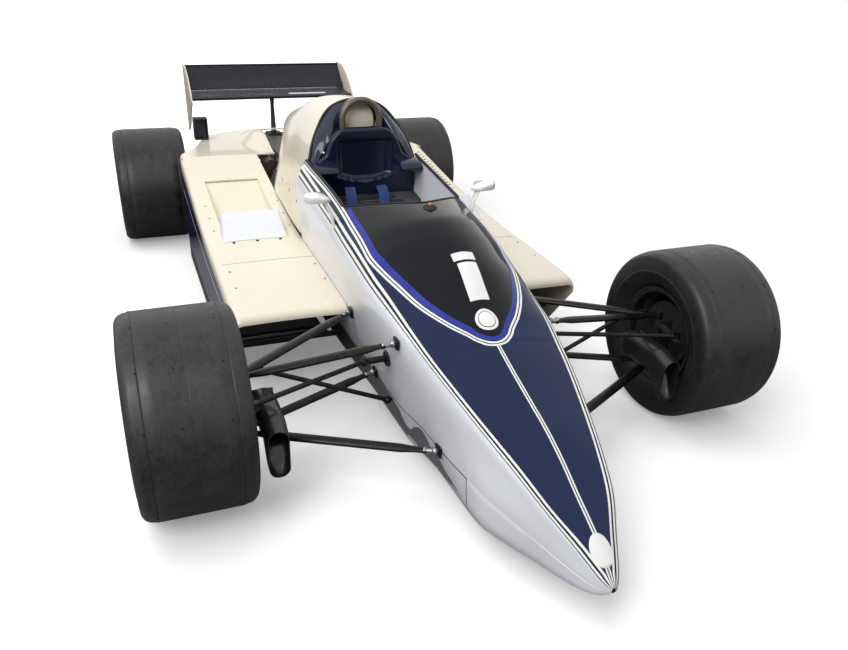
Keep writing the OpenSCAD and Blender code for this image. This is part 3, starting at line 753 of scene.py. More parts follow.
@dataclass(frozen=True)
class Slatted(Finish):
    """A finish with even bands, such as fins or threads, across an axis."""

    spacing_mm: float = 6.0
    axis: str = "X"
    own_height = True

    def pattern(self, tree: Nodes, place: Socket) -> Socket:
        """Returns the share of the bands, which repeat every spacing_mm."""
        return waves(tree, place, self.spacing_mm, self.axis, 0.0)


@dataclass(frozen=True)
class Woven(Finish):
    """Webbing or cloth: two sets of threads that cross."""

    thread_mm: float = 3.0
    own_height = True

    def pattern(self, tree: Nodes, place: Socket) -> Socket:
        """Returns the share of the threads, drawn coarser than real so that they show."""
        warp, weft = (waves(tree, place, self.thread_mm, axis, 0.4) for axis in ("X", "DIAGONAL"))
        return combine(tree, "MULTIPLY", warp, weft)


@dataclass(frozen=True)
class Scuffed(Finish):
    """Used slick rubber: dusty smears over fine pitting."""

    smear_mm: float = 60.0

    def pattern(self, tree: Nodes, place: Socket) -> Socket:
        """Returns the share of dust, in smears with a finer mottle inside."""
        smear = noise(tree, place, self.smear_mm, Detail=8.0, Roughness=0.68, Distortion=0.6)
        mottle = noise(tree, place, self.cloud_mm, Detail=6.0, Roughness=0.75)
        return remap(tree, combine(tree, "MULTIPLY", smear, mottle), start=(0.16, 0.42))


class Paint(Enum):
    """Finishes of the car, each named for the real one."""

    # gelcoat cream, polished: clear lacquer over a warm body colour
    CREAM = Finish("cream_gloss_paint", "#e6ddc9", "#e1d7c2", 600, 0.28, 0.05, coat=0.5)
    # white enamel of the nose: cooler, polished
    WHITE = Finish("white_gloss_paint", "#e3e6eb", "#dde0e6", 400, 0.25, 0.05, coat=0.5)
    STRIPE = Finish("white_tape_stripe", "#f0f0ee", "#e8e8e6", 80, 0.3, 0.04, coat=0.4)
    NAVY = Finish("navy_gloss_paint", "#172242", "#1a274b", 300, 0.14, 0.04, ior=1.3)
    # the headrest moulding: darker, deep gloss
    DEEP = Finish("dark_navy_gelcoat", "#141b30", "#181f36", 200, 0.16, 0.04, ior=1.4)
    # tinted deflector between headrest and cover
    TINT = Finish("tinted_deflector", "#1d2437", "#242c42", 200, 0.1, 0.02, ior=1.5)
    LINE = Finish("black_pin_line", "#0e0e12", "#141418", 60, 0.3, 0.05, ior=1.35)
    # acrylic screen over a dark mask: near black, wet gloss
    SMOKE = Finish("smoked_acrylic", "#0c0d13", "#12131a", 200, 0.08, 0.02, ior=1.3)
    BLUE = Finish("bright_blue_tape", "#1a2c8c", "#203398", 60, 0.3, 0.05, ior=1.4)
    MATT = Finish("matt_black_paint", "#111113", "#1a1a1c", 20, 0.65, 0.1, grain_mm=1.5,
                  relief_mm=0.05)
    # near black for panel gaps and fastener heads, and painted shade on the solids that stand for
    # louvres and the deck's slot
    GAP = Finish("panel_gap_and_slot_shade", "#1b1b1c", "#26262a", 10, 0.8, 0.1)
    # satin crackle on dash, floor and skirts
    PANEL = Finish("satin_black_panel", "#17171a", "#222226", 30, 0.5, 0.1, grain_mm=3,
                   relief_mm=0.08)
    # the tread's blue-tinted base colour is painted reflection, the bluish sheen on its top; the
    # lighter smears are dust
    RUBBER = Scuffed("used_slick_rubber", "#0f1116", "#34322e", 9, 0.48, 0.16, grain_mm=2.2,
                     relief_mm=0.35)
    WALL = Scuffed("tyre_side_rubber", "#0f0f10", "#242322", 14, 0.56, 0.1, grain_mm=3,
                   relief_mm=0.15, smear_mm=90)
    # near black discs standing for the tyres' wear holes: painted shade of the holes' insides
    PIT = Finish("hole_shade_disc", "#0a0a0a", "#101010", 3, 0.9, 0.05)
    RIM = Finish("black_magnesium_casting", "#252528", "#343437", 18, 0.42, 0.1, metallic=0.3,
                 grain_mm=2, relief_mm=0.06, coat=0.2)
    ARM = Finish("satin_black_steel", "#1f1d1b", "#2e2b27", 25, 0.32, 0.1, metallic=0.7,
                 grain_mm=3, relief_mm=0.04)
    STEEL = Finish("bright_machined_steel", "#a8a9ab", "#8e8f92", 6, 0.3, 0.1, metallic=1.0,
                   grain_mm=1.2, relief_mm=0.02)
    CAST = Finish("sand_cast_magnesium", "#6d6c66", "#57564f", 14, 0.6, 0.12, metallic=0.5,
                  grain_mm=1.6, relief_mm=0.25)
    SHEET = Slatted("brushed_aluminium", "#a9abad", "#9a9c9e", 30, 0.38, 0.08, metallic=1.0,
                    relief_mm=0.01, spacing_mm=3, axis="Z")
    # scorched mild steel pipe: brown oxide with grey patches
    PIPE = Finish("scorched_steel_pipe", "#5b4436", "#3a2e28", 35, 0.55, 0.15, metallic=0.7,
                  grain_mm=2, relief_mm=0.1)
    # chromed hoop tube: its tan-grey base colour stands in for the brown surroundings that it
    # reflects, painted reflection
    HOOP = Finish("tan_painted_reflection_tube", "#6a6056", "#5d544b", 40, 0.33, 0.08, metallic=0.2,
                  coat=0.4)
    DUCT = Finish("brown_black_laminate", "#211d1a", "#161413", 22, 0.42, 0.12, grain_mm=4,
                  relief_mm=0.08, coat=0.4)
    CORE = Slatted("radiator_core", "#2c2c2c", "#0c0c0c", 10, 0.55, 0.1, metallic=0.6,
                   relief_mm=1.5, spacing_mm=7, axis="X")
    BELT = Woven("blue_webbing", "#23407f", "#182e60", 10, 0.8, 0.05, sheen=0.3,
                 relief_mm=0.3, thread_mm=2.5)
    PAD = Woven("black_seat_cloth", "#1a1a1d", "#101012", 10, 0.85, 0.05, sheen=0.25,
                relief_mm=0.4, thread_mm=3)
    SUEDE = Finish("black_suede", "#161617", "#202021", 8, 0.92, 0.05, sheen=0.5, grain_mm=1.5,
                   relief_mm=0.1)
    COPPER = Finish("copper_cap", "#b5683a", "#9b552e", 6, 0.3, 0.08, metallic=1.0)
    GLASS = Finish("silvered_glass", "#c9ced2", "#c2c7cb", 60, 0.05, 0.02, metallic=1.0)
    DIAL = Finish("dial_face", "#0c0c0d", "#141415", 8, 0.3, 0.05, coat=1.0)
    WING = Finish("charcoal_navy_paint", "#171b24", "#1d212b", 120, 0.3, 0.08, ior=1.35)

    def material(self) -> bpy.types.Material:
        """Returns the finish's material, built once."""
        return bpy.data.materials.get(self.value.name) or self.value.make()


class Body(Enum):
    """Moving groups of the frame that pieces ride on."""

    CHASSIS = "chassis"
    HELM = "steering_wheel_body"
    KNUCKLE_LEFT = "knuckle_left"
    KNUCKLE_RIGHT = "knuckle_right"
    WHEEL_FRONT_LEFT = "wheel_front_left"
    WHEEL_FRONT_RIGHT = "wheel_front_right"
    WHEEL_REAR_LEFT = "wheel_rear_left"
    WHEEL_REAR_RIGHT = "wheel_rear_right"


class Slot(Enum):
    """Material slots of the record."""

    PAINT = "body_paint"
    NAVY = "navy_paint"
    SCREEN = "smoked_screen"
    BLACK = "black_panel"
    METAL = "cast_metal"
    ARM = "arm_steel"
    RIM = "rim_metal"
    TYRE = "tyre_rubber"
    SEAT = "seat_pad"
    GRIP = "wheel_grip"
    HOOP = "hoop_finish"
    WING = "wing_paint"


def piece(obj: Obj, paints: Sequence[Paint], body: Body = Body.CHASSIS, slot: Slot = Slot.PAINT,
          nodes: Sequence[str] = (), angle: float = 40.0, shade: bool = True) -> Obj:
    """Dresses a finished object and gives it its place on the frame.

    Args:
        obj: The object.
        paints: Finishes by material index.
        body: The body that it rides on.
        slot: The record's material slot; not used.
        nodes: CAD nodes that it stands for.
        angle: Edges sharper than this stay sharp, in degrees.
        shade: Whether it is shaded smooth.

    Returns:
        The object.
    """
    index = [p.material_index for p in obj.data.polygons]
    obj.data.materials.clear()
    for paint in paints:
        obj.data.materials.append(paint.material())
    for polygon, i in zip(obj.data.polygons, index):
        polygon.material_index = min(i, len(paints) - 1)
    if shade:
        smooth(obj, angle)
    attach(obj, body.value)
    if nodes:
        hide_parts(*nodes)
    LOG.info("%s: %d faces", obj.name, len(obj.data.polygons))
    return obj


def dress(paint: Paint, *names: str) -> None:
    """Gives CAD nodes a finish, their shape being right.

    Args:
        paint: The finish.
        names: The nodes.
    """
    for name in names:
        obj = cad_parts[name]
        if not obj.material_slots:
            obj.data.materials.append(None)
        for slot in obj.material_slots:
            slot.link = "OBJECT"
            slot.material = paint.material()


# ------------------------------------------------------------------ bodywork


@dataclass
class Hull:
    """Nose, cockpit sides and screen, one smooth shell in mm from the front axle."""

    floor: float = 61.0
    joint: float = 200.0
    gap: float = 1.6
    side_out: float = 13.0
    stripes: tuple = (2.5, 5.0, 5.5, 6.5)
    centre: tuple = (1.6, 4.6, 1.0)
    nose: tuple = ((0, 135, 5, 131, 5, 120), (0.038, 150, 23, 144, 25, 104),
                   (0.095, 172, 37, 163, 43, 93), (0.208, 213, 60, 198, 70, 86),
                   (0.434, 270, 106, 263, 115, 82), (0.66, 328, 135, 309, 159, 78),
                   (0.887, 373, 161, 347, 188, 68), (1, 390, 173, 365, 190, 62))
    crown: tuple = ((-300, 443), (-200, 482), (-100, 524), (0, 578), (100, 635), (200, 678),
                    (300, 712), (420, 738), (640, 745))
    border: tuple = ((-200, 0), (-197, 16), (-188, 34), (-172, 52), (-150, 68), (-100, 112),
                     (0, 169), (100, 202), (200, 221), (300, 235), (640, 235), (1150, 250))
    border_z: tuple = ((-200, 482), (-150, 497), (-100, 515), (0, 545), (100, 575), (200, 592),
                       (300, 615), (400, 642), (500, 661), (640, 690), (1150, 755))
    shoulder: tuple = ((-300, 206), (-200, 224), (-100, 240), (0, 250), (200, 269), (300, 275),
                       (640, 281), (1150, 285))
    shoulder_z: tuple = ((-300, 417), (-200, 447), (-100, 478), (0, 499), (200, 540), (300, 562),
                         (500, 598), (640, 626), (1150, 690))
    base: tuple = ((-190, 196), (0, 222), (300, 225), (600, 232), (1150, 240))
    rack_y: float = 45.0
    rack_z: float = 350.0
    screen_front: float = -195.0
    screen_back: float = 640.0
    screen_crown: float = 420.0
    screen_columns: tuple = ((26, 0.4), (7, 0.8))
    edge_inset: float = 0.5
    border_tape: tuple = (0, 6, 8.5, 9.5, 15.5)
    screen_tape: tuple = (-17, -10, -2)

    def __post_init__(self) -> None:
        """Joins the nose's stations to the hull's."""
        at = [mix(NOSE_TIP, COWL_FRONT, s[0]) for s in self.nose]

        def joined(column: int, rest: Sequence[Point]) -> Line:
            """Returns one line through the nose's column and the hull's table."""
            return Line([(y, s[column]) for y, s in zip(at, self.nose)] + list(rest))

        self.top = joined(1, self.crown)
        self.wide = joined(2, self.shoulder)
        self.high = joined(3, self.shoulder_z)
        self.low_wide = joined(4, self.base)
        self.low = joined(5, [(COWL_FRONT + 60, self.floor), (BULKHEAD, self.floor)])
        self.edge = Line(self.border)
        self.edge_z = Line(self.border_z)

    def inner(self, y: float) -> tuple[float, float]:
        """Returns x and z of the shell's middle line or cockpit border."""
        return (self.edge(y), self.edge_z(y)) if y > -200 else (0.0, self.top(y))

    def deck(self, y: float, x: float) -> float:
        """Returns the height of the shell's top at x, between border and shoulder."""
        ex, ez = self.inner(y)
        sx, sz = self.wide(y), self.high(y)
        t = clamp((x - ex) / max(sx - ex, 1))
        lead = 0.39 if y > COWL_FRONT else mix(0.05, 0.39, max(0, (y - NOSE_TIP)
                                                             / (COWL_FRONT - NOSE_TIP)))
        return mix(ez, sz, lead * t + (1 - lead) * t * t)

    def side(self, y: float) -> Line:
        """Returns the half width of the side by height."""
        sx, sz, bx, bz = self.wide(y), self.high(y), self.low_wide(y), self.low(y)
        k = min(1.0, (sz - bz) / 300)
        out = sx + self.side_out * k
        return Line([(bz, bx - 20 * k), (bz + 0.16 * (sz - bz), bx),
                     ((sz + bz) / 2, (out + bx) / 2 + 8 * k),
                     (sz - 50 * k, out), (sz - 12 * k, sx + 6.5 * k), (sz, sx)])

    def bands_at(self, y: float) -> list[float]:
        """Lists x of the band edges from the middle line or border out to the shoulder.

        Args:
            y: The station.

        Returns:
            The x values.
        """
        ex, _ = self.inner(y)
        sx = self.wide(y)
        room = sx - ex
        inner = np.cumsum(self.centre)
        outer = np.cumsum(self.stripes)
        fit = min(1.0, room * 0.93 / (inner[-1] + outer[-1]))
        first = [ex + v * fit for v in inner]
        last = [sx - v * fit for v in outer][::-1]
        panel = spread((first[-1], 0), (last[0], 14))
        return [ex] + first[:-1] + panel + last[1:] + [sx]

    def row(self, y: float) -> list[tuple[float, float, float]]:
        """Lists one row of the left half, from the middle down to the floor's middle."""
        sz, bz = self.high(y), self.low(y)
        share = (self.high(COWL_FRONT) - self.joint) / (self.high(COWL_FRONT) - self.floor)
        zj = self.joint if y >= COWL_FRONT else sz - share * (sz - bz)
        gap = self.gap * min(1, (sz - bz) / 300)
        side = self.side(y)
        points = [(x, y, self.deck(y, x)) for x in self.bands_at(y)]
        upper = spread((sz, 0), (sz - 0.12 * (sz - zj), 3), (zj + gap, 9))[1:]
        lower = spread((zj - gap, 0), (bz, 6))
        points += [(side(z), y, z) for z in upper]
        groove = 2.0 if y >= COWL_FRONT - 0.1 else 0.0
        points.append((side(zj) - groove, y, zj))
        points += [(side(z) + 0.8, y, z) for z in lower]
        points += [(side(bz) * s, y, bz - 0.5) for s in (0.96, 0.5, 0)]
        return points

    def rows(self) -> list[float]:
        """Lists the shell's stations, closer at the tip, the joint and the screen."""
        tip = [NOSE_TIP + v for v in (0, 1.5, 4, 8, 13, 20, 28, 38, 50, 66)]
        front = spread((tip[-1] + 18, 0), (COWL_FRONT - 2, 18))
        joint = [COWL_FRONT, COWL_FRONT + 2]
        neck = spread((COWL_FRONT + 20, 0), (-205, 11))
        point = [-200, -199, -197, -193, -188, -181, -172, -162, -150, -136, -120]
        return tip + front + joint + neck + point + spread((-100, 0), (BULKHEAD, 56))

    def build(self) -> None:
        """Builds the painted shell from tip to bulkhead."""
        stations = self.rows()
        rows = [self.row(y) for y in stations]
        last = len(self.bands_at(0)) - 1
        top = len(self.centre) + 14
        side = last + 12

        def band(r: int, c: int) -> int:
            """Returns the paint index of a face."""
            y = stations[r]
            if c < 3:
                return (3, 1, 2)[c] if y < -216 else 2
            if c < top:
                return 2
            if c < last:
                return (1, 3, 1, 3)[c - top]
            if y >= COWL_FRONT and c in (side, side + 1):
                return 4
            if COWL_FRONT - 3 < y < COWL_FRONT + 1 and c > side:
                return 4
            return 0

        shell = sheet("body_shell", [[car(*p) for p in r] for r in rows], band)
        mirrored(shell, 0.0002)
        tip = min(v.co.y for v in shell.data.vertices)
        with editing(shell, [v.co.y < tip + 0.0001 for v in shell.data.vertices]):
            bpy.ops.mesh.edge_face_add()
        tidy(shell, outward=False)
        thicken(shell, 0.006)
        cut_round(shell, car(0, self.rack_y, self.rack_z), 17 * MM, 0.8)
        piece(shell, [Paint.WHITE, Paint.STRIPE, Paint.NAVY, Paint.LINE, Paint.GAP],
              nodes=["nose_cowl", "cockpit_cowl"], angle=35)

    def screen_at(self, row: float, s: float) -> tuple[float, float, float]:
        """Point of the screen at a row station and a share across it."""
        t = (row - self.screen_front) / (self.screen_back - self.screen_front)
        back = mix(self.screen_crown, self.screen_back, abs(s) ** 1.6)
        z = mix(self.top(row) if row < 640 else 745.0, self.edge_z(row), s * s)
        return (s * (self.edge(row) - self.edge_inset), mix(self.screen_front, back, t), z)

    def screen_z(self, x: float, y: float) -> float:
        """Returns the height of the screen over a point in plan."""
        row, s = y, 0.0
        for _ in range(8):
            s = clamp(x / max(self.edge(row), 1), -1)
            back = mix(self.screen_crown, self.screen_back, abs(s) ** 1.6)
            t = (y - self.screen_front) / (back - self.screen_front)
            row = mix(self.screen_front, self.screen_back, clamp(t))
        return self.screen_at(row, s)[2]

    def build_screen(self) -> None:
        """Builds the smoked screen, its columns closer toward the edges."""
        stations = spread((self.screen_front - 4, 0), (-150, 8), (self.screen_back, 44))
        rows = []
        for y in stations:
            wide = max(self.edge(y) - self.edge_inset, 1)
            far, near = (max(1 - mm / wide, least) for mm, least in self.screen_columns)
            half = spread((0, 0), (far, 9), (near, 2), (1, 1))
            shares = [-s for s in half[:0:-1]] + half
            rows.append([car(*self.screen_at(y, s)) for s in shares])
        screen = sheet("smoked_screen", rows)
        tidy(screen, outward=False)
        thicken(screen, 0.005)
        piece(screen, [Paint.SMOKE], slot=Slot.SCREEN, nodes=["windscreen"], angle=50)

    def decals(self) -> None:
        """Adds the blank discs and the plain panel that lie on nose and screen."""
        def on_nose(x: float, y: float) -> float:
            """Returns the height of the nose's top."""
            return self.deck(y, abs(x))

        rim = [(self.edge(y), y) for y in spread((BULKHEAD - 4, 0), (-150, 64))]
        rim += [(self.edge(y), y)
                for y in (-156, -162, -168, -174, -180, -185, -189, -193, -196.5)]
        loop = rim + [(0.0, -200.0)] + [(-x, y) for x, y in reversed(rim)]
        loop = [tuple(p) for p in refine([(x, y, 0) for x, y in loop], 2)[:, :2]]
        tape("border_tapes", loop, self.border_tape, on_nose,
             [Paint.STRIPE, Paint.LINE, Paint.LINE, Paint.STRIPE])
        near = [p for p in loop if p[1] < 600]
        tape("screen_edge_tapes", near, self.screen_tape, self.screen_z,
             [Paint.BLUE, Paint.BLUE], slot=Slot.SCREEN)
        patch("nose_disc", 0, -822, oval(30, 34, 32), on_nose, 1.0, Paint.STRIPE)
        for name, x, y, outline, lift, paint in (
                ("screen_disc", 0, -127, oval(37, 33, 40), 0.8, Paint.STRIPE),
                ("screen_disc_ring", 0, -127, oval(28, 25, 40), 1.4, Paint.LINE),
                ("screen_disc_face", 0, -127, oval(26, 23, 40), 2.0, Paint.STRIPE),
                ("number_panel_low", 3, -11, rounded_box(33, 57, 2), 1.0, Paint.STRIPE),
                ("number_panel_top", 1, 69, rounded_box(38, 14, 2), 1.0, Paint.STRIPE)):
            patch(name, x, y, outline, self.screen_z, lift, paint)

    def trim(self) -> None:
        """Adds the cockpit's rubber edging, the dome behind the screen and rack gaiters."""
        rim = [car(self.edge(y) - 2, y, self.edge_z(y) + 1) for y in spread((642, 0), (1146, 22))]
        edging = sweep("cockpit_edging", rim, oval(7 * MM, 6 * MM, 12))
        piece(mirrored(edging), [Paint.MATT], slot=Slot.BLACK)
        back = [car(*self.screen_at(self.screen_back, s)) for s in spread((-1, 0), (1, 40))]
        lip = sweep("screen_lip", back, oval(3.5 * MM, 3.5 * MM, 10))
        piece(lip, [Paint.MATT], slot=Slot.BLACK)
        dome_at = car(0, 357, 730)
        profile = [(0.001, 0.026), (0.012, 0.0245), (0.021, 0.019), (0.027, 0.01), (0.029, 0.0),
                   (0.029, -0.012), (0.001, -0.012)]
        dome = turned("screen_dome", profile, dome_at, (0, 0, 1), 36)
        piece(dome, [Paint.MATT], slot=Slot.BLACK)
        cap = turned("dome_cap", [(0.0005, 0.031), (0.007, 0.03), (0.0095, 0.027), (0.0095, 0.02),
                                  (0.0005, 0.02)], dome_at, (0, 0, 1), 24)
        piece(cap, [Paint.COPPER], slot=Slot.METAL)
        x = self.side(self.rack_y)(self.rack_z)
        gaiter = turned("rack_gaiter", [(0.019, 0), (0.026, 0), (0.027, 0.003), (0.024, 0.007),
                                        (0.019, 0.007), (0.019, 0)],
                        car(x + 0.5, self.rack_y, self.rack_z), (1, 0, 0), 36)
        piece(mirrored(gaiter), [Paint.MATT], slot=Slot.BLACK)


def cut_round(obj: Obj, at: Point, radius: float, length: float, axis: Point = (1, 0, 0)) -> None:
    """Cuts a round hole through a piece.

    Args:
        obj: The piece.
        at: The middle of the hole.
        radius: Its radius.
        length: Length of the cutter.
        axis: Its direction.
    """
    cutter = cylinder(at, radius, length, axis, 32)
    modify(obj, "BOOLEAN", operation="DIFFERENCE", object=cutter, solver="EXACT")
    bpy.data.objects.remove(cutter)


def patch(name: str, x: float, y: float, outline: Sequence[Point],
          height: Callable[[float, float], float], lift: float, paint: Paint,
          slot: Slot = Slot.PAINT) -> None:
    """Thin vinyl patch that follows the surface below it.

    Args:
        name: The piece's name.
        x: Its middle across the car, in mm.
        y: Its middle along the car, in mm.
        outline: Its outline round its middle, in mm.
        height: Height of the surface over a point.
        lift: How far its face stands above the surface.
        paint: Its finish.
        slot: Its material slot.
    """
    outline = dense(outline, 7)
    rows = []
    for share in (0.001, 0.2, 0.4, 0.6, 0.8, 1.0):
        ring = [(x + a * share, y + b * share) for a, b in list(outline) + [outline[0]]]
        rows.append([car(px, py, height(px, py) + lift) for px, py in ring])
    edge = [car(x + a, y + b, height(x + a, y + b) - 0.8) for a, b in list(outline) + [outline[0]]]
    obj = tidy(sheet(name, rows + [edge]))
    piece(obj, [paint], slot=slot, angle=50)


def tape(name: str, path: Sequence[Point], edges: Sequence[float],
         height: Callable[[float, float], float], paints: Sequence[Paint], lift: float = 0.5,
         slot: Slot = Slot.PAINT) -> None:
    """Lays parallel tapes beside a line on a surface.

    Args:
        name: The piece's name.
        path: Points of the line in plan, in mm.
        edges: Offsets of the tapes' edges to the right of the path, in mm.
        height: Height of the surface over a point.
        paints: The finish between each pair of edges.
        lift: How far the tapes' faces stand above the surface.
        slot: The material slot.
    """
    rows = []
    for i, (x, y) in enumerate(path):
        ax, ay = path[max(i - 1, 0)]
        bx, by = path[min(i + 1, len(path) - 1)]
        run = math.hypot(bx - ax, by - ay)
        nx, ny = -(by - ay) / run, (bx - ax) / run
        points = [(x + nx * e, y + ny * e) for e in edges]
        rows.append([car(px, py, height(px, py) + lift) for px, py in points])
    obj = sheet(name, rows, lambda r, c: c)
    tidy(obj, merge=0.00001)
    if sum(f.normal.z for f in obj.data.polygons) < 0:
        obj.data.flip_normals()
    thicken(obj, 0.0008)
    piece(obj, paints, slot=slot, angle=50)


@dataclass
class Pods:
    """Side pods, their vents and the rear deck, in mm from the front axle."""

    hull: Hull
    front: float = 450.0
    half: float = 690.0
    deck_line: tuple = ((0, 372), (0.1, 385), (0.45, 420), (0.7, 480), (1, 571))
    hole: tuple = (340.0, 606.0, 1306.0, 1890.0)
    seam: float = 940.0
    ramp: float = 1310.0
    ramp_drop: float = 82.0
    wall_z: float = 95.0
    flap: tuple = (1180.0, 132.0, 78.0)
    flap_edge: float = 22.0
    fastener_rows: tuple = (700, 860, 1320, 1460, 1600)
    louvres: tuple = (1640, 36, 14)
    deck_slot: tuple = (205, 2893, 286, 2914)
    deck_z: float = 571.0
    arch_end: float = 188.0
    deck_end: float = 778.0
    deck_round: float = 9.0
    blister: tuple = (205, 370, 112, 64)
    blister_length: float = 3.0
    scoop_wall: float = 8.0
    scoop_depth: float = 55.0
    edge: float = 34.0
    edge_drop: float = 30.0
    outline: tuple = ((0, 690), (80, 682), (150, 655), (243, 600), (383, 555), (513, 520),
                      (600, 492), (660, 430), (735, 300), (780, 150))

    def __post_init__(self) -> None:
        """Fits the deck's height line and the rear deck's width line."""
        self.height = Line([(mix(self.front, POD_REAR, t), z) for t, z in self.deck_line])
        self.width = Line([(POD_REAR + y, x) for y, x in self.outline])

    def inner(self, y: float) -> float:
        """Returns x of the pod's inner edge on the hull."""
        at = min(y, BULKHEAD)
        return self.hull.side(at)(self.height(at)) + 1.5

    def top(self, x: float, y: float) -> float:
        """Returns the height of the pod's top, with its rounded outer edge."""
        over = max(0.0, x - (self.half - self.edge)) / self.edge
        curl = max(0.0, 1 - (y - self.front) / self.edge)
        drop = self.edge_drop * fall(over) + self.edge_drop * fall(curl)
        return self.height(y) + 3 * math.sin(math.pi * clamp((x - 250) / 440)) - drop

    def build_side(self, name: str, node: str, dark: bool) -> None:
        """Builds one pod.

        Args:
            name: The piece's name.
            node: The CAD node that it stands for.
            dark: Whether its outer side is navy with pin lines.
        """
        x0, x1, y0, y1 = self.hole
        curl = [self.front + self.edge * (1 - math.cos(math.radians(a)))
                for a in range(0, 76, 15)]
        ys = curl + spread((self.front + self.edge, 0), (y0, 16), (y1, 18), (POD_REAR, 14))
        edge = [self.half - self.edge + self.edge * math.sin(math.radians(a))
                for a in range(0, 91, 10)]
        rows = []
        sides = (0.0, 0.05, 0.07, 0.3, 0.33, 0.6, 0.9, 1.0)
        for y in ys:
            inner = self.inner(y)
            xs = spread((inner, 0), (x0, 5), (x1, 8))
            xs += spread((x1, 0), (edge[0], 2))[1:] + edge[1:]
            points = [(x, y, self.top(x, y)) for x in xs]
            low = points[-1][2]
            lead = max(0.0, 1 - (y - self.front) / 500)
            points += [(self.half, y + 190 * s * lead, mix(low, self.wall_z, s))
                       for s in sides[1:]]
            rows.append([car(*p) for p in points])
        cols = len(rows[0]) - 1
        side0 = cols - len(sides) + 1

        def band(r: int, c: int) -> int:
            """Returns the paint index of a face."""
            if not dark or c < side0:
                return 0
            return (0, 1, 2, 1, 2, 2, 2)[c - side0]

        def keep(r: int, c: int) -> bool:
            """Tells whether a face lies outside the air outlet."""
            return not (5 <= c < 13 and y0 - 1 < ys[r] < y1 - 1)

        pod = sheet(name, rows, band, keep)
        thicken(pod, 0.006)
        slope = self.ramp_line()
        ramp = [[car(x, y, z) for x in spread((x0 - 6, 0), (x1 + 6, 4))]
                for y, z in slope]
        tray = sheet("tray", ramp)
        thicken(tray, 0.004)
        walls = []
        for x in (x0 - 2, x1 + 2):
            ends = [[car(x, y, z - 2), car(x, y, self.top(x, y) - 5)] for y, z in slope]
            walls.append(thicken(sheet("wall", ends), 0.004, 0.0))
        pod = join(name, [pod, tray, *walls])
        if dark:
            flipped(pod)
        piece(pod, [Paint.CREAM, Paint.STRIPE, Paint.NAVY], nodes=[node], angle=38)

    def ramp_line(self) -> list[tuple[float, float]]:
        """Lists station and height along the outlet's sloping floor."""
        y1 = self.hole[3]
        start = self.height(self.ramp) - self.ramp_drop
        return [(mix(self.ramp, y1 + 20, t), mix(start, self.height(y1) - 1, t ** 1.3))
                for t in spread((0, 0), (1, 12))]

    def vents(self) -> None:
        """Builds the raised vent flaps, closed at their sides, with their fasteners."""
        x0, x1 = self.hole[0] - 6, self.hole[1] + 10
        y0, run, rise = self.flap
        rows = []
        for t in spread((0, 0), (1, 14)):
            y = y0 + run * t
            lift = 2 + rise * (ease(t) * 0.35 + t * 0.65)
            xs = spread((x0, 0), (x0 + self.flap_edge, 5), (x1 - self.flap_edge, 8), (x1, 5))
            row = []
            for x in xs:
                e = clamp(min(x - x0, x1 - x) / self.flap_edge)
                row.append(car(x, y, self.top(x, y) + 1 + lift * math.sqrt(1 - (1 - e) ** 2)))
            rows.append(row)
        hood = sheet("vent_hoods", rows)
        thicken(hood, 0.004)
        piece(mirrored(hood), [Paint.WHITE], nodes=["radiator_flaps"], angle=45)
        lid = []
        for x in (x0 + 40, (x0 + x1) / 2, x1 - 40):
            lid.append(puck(car(x, y0 - 14, self.top(x, y0 - 14) + 1), 7 * MM, 3 * MM))
        for y in self.fastener_rows:
            for x in (self.inner(y) + 16, 640):
                lid.append(puck(car(x, y, self.top(x, y) + 0.6), 4 * MM, 1.6 * MM))
        piece(mirrored(join("pod_fasteners", lid)), [Paint.GAP], slot=Slot.BLACK)

    def slots(self) -> None:
        """Adds near black blocks as painted shade for the row of small louvres and the deck's
        slot, and the pods' seams.
        """
        parts = []
        # each louvre opening is a raised near black block: painted shade
        start, pitch, count = self.louvres
        for i in range(count):
            y = start + i * pitch
            x = self.half - 52
            low, high = car(x - 7, y, self.top(x, y) - 1), car(x + 7, y + 17, self.top(x, y) + 1.6)
            parts.append(block("slot", low, high, 0.8 * MM, 1))
        piece(join("deck_louvres", parts), [Paint.GAP], slot=Slot.BLACK)
        # the deck's slot is a thin near black plate: painted shade
        x0, y0, x1, y1 = self.deck_slot
        slot = [(x, y, self.deck_z + 1.5) for x, y in ((x0, y0), (x1, y0), (x1, y1), (x0, y1))]
        piece(plate("deck_slot", [car(*p) for p in slot], (0, 0, 0.0012)), [Paint.GAP],
              slot=Slot.BLACK)
        y = self.seam
        line = [car(x, y, self.top(x, y) + 0.1) for x in spread((self.inner(y) + 2, 0), (684, 16))]
        seam = sweep("pod_seams", line, oval(0.9 * MM, 0.5 * MM, 6))
        piece(mirrored(seam), [Paint.GAP], slot=Slot.BLACK)

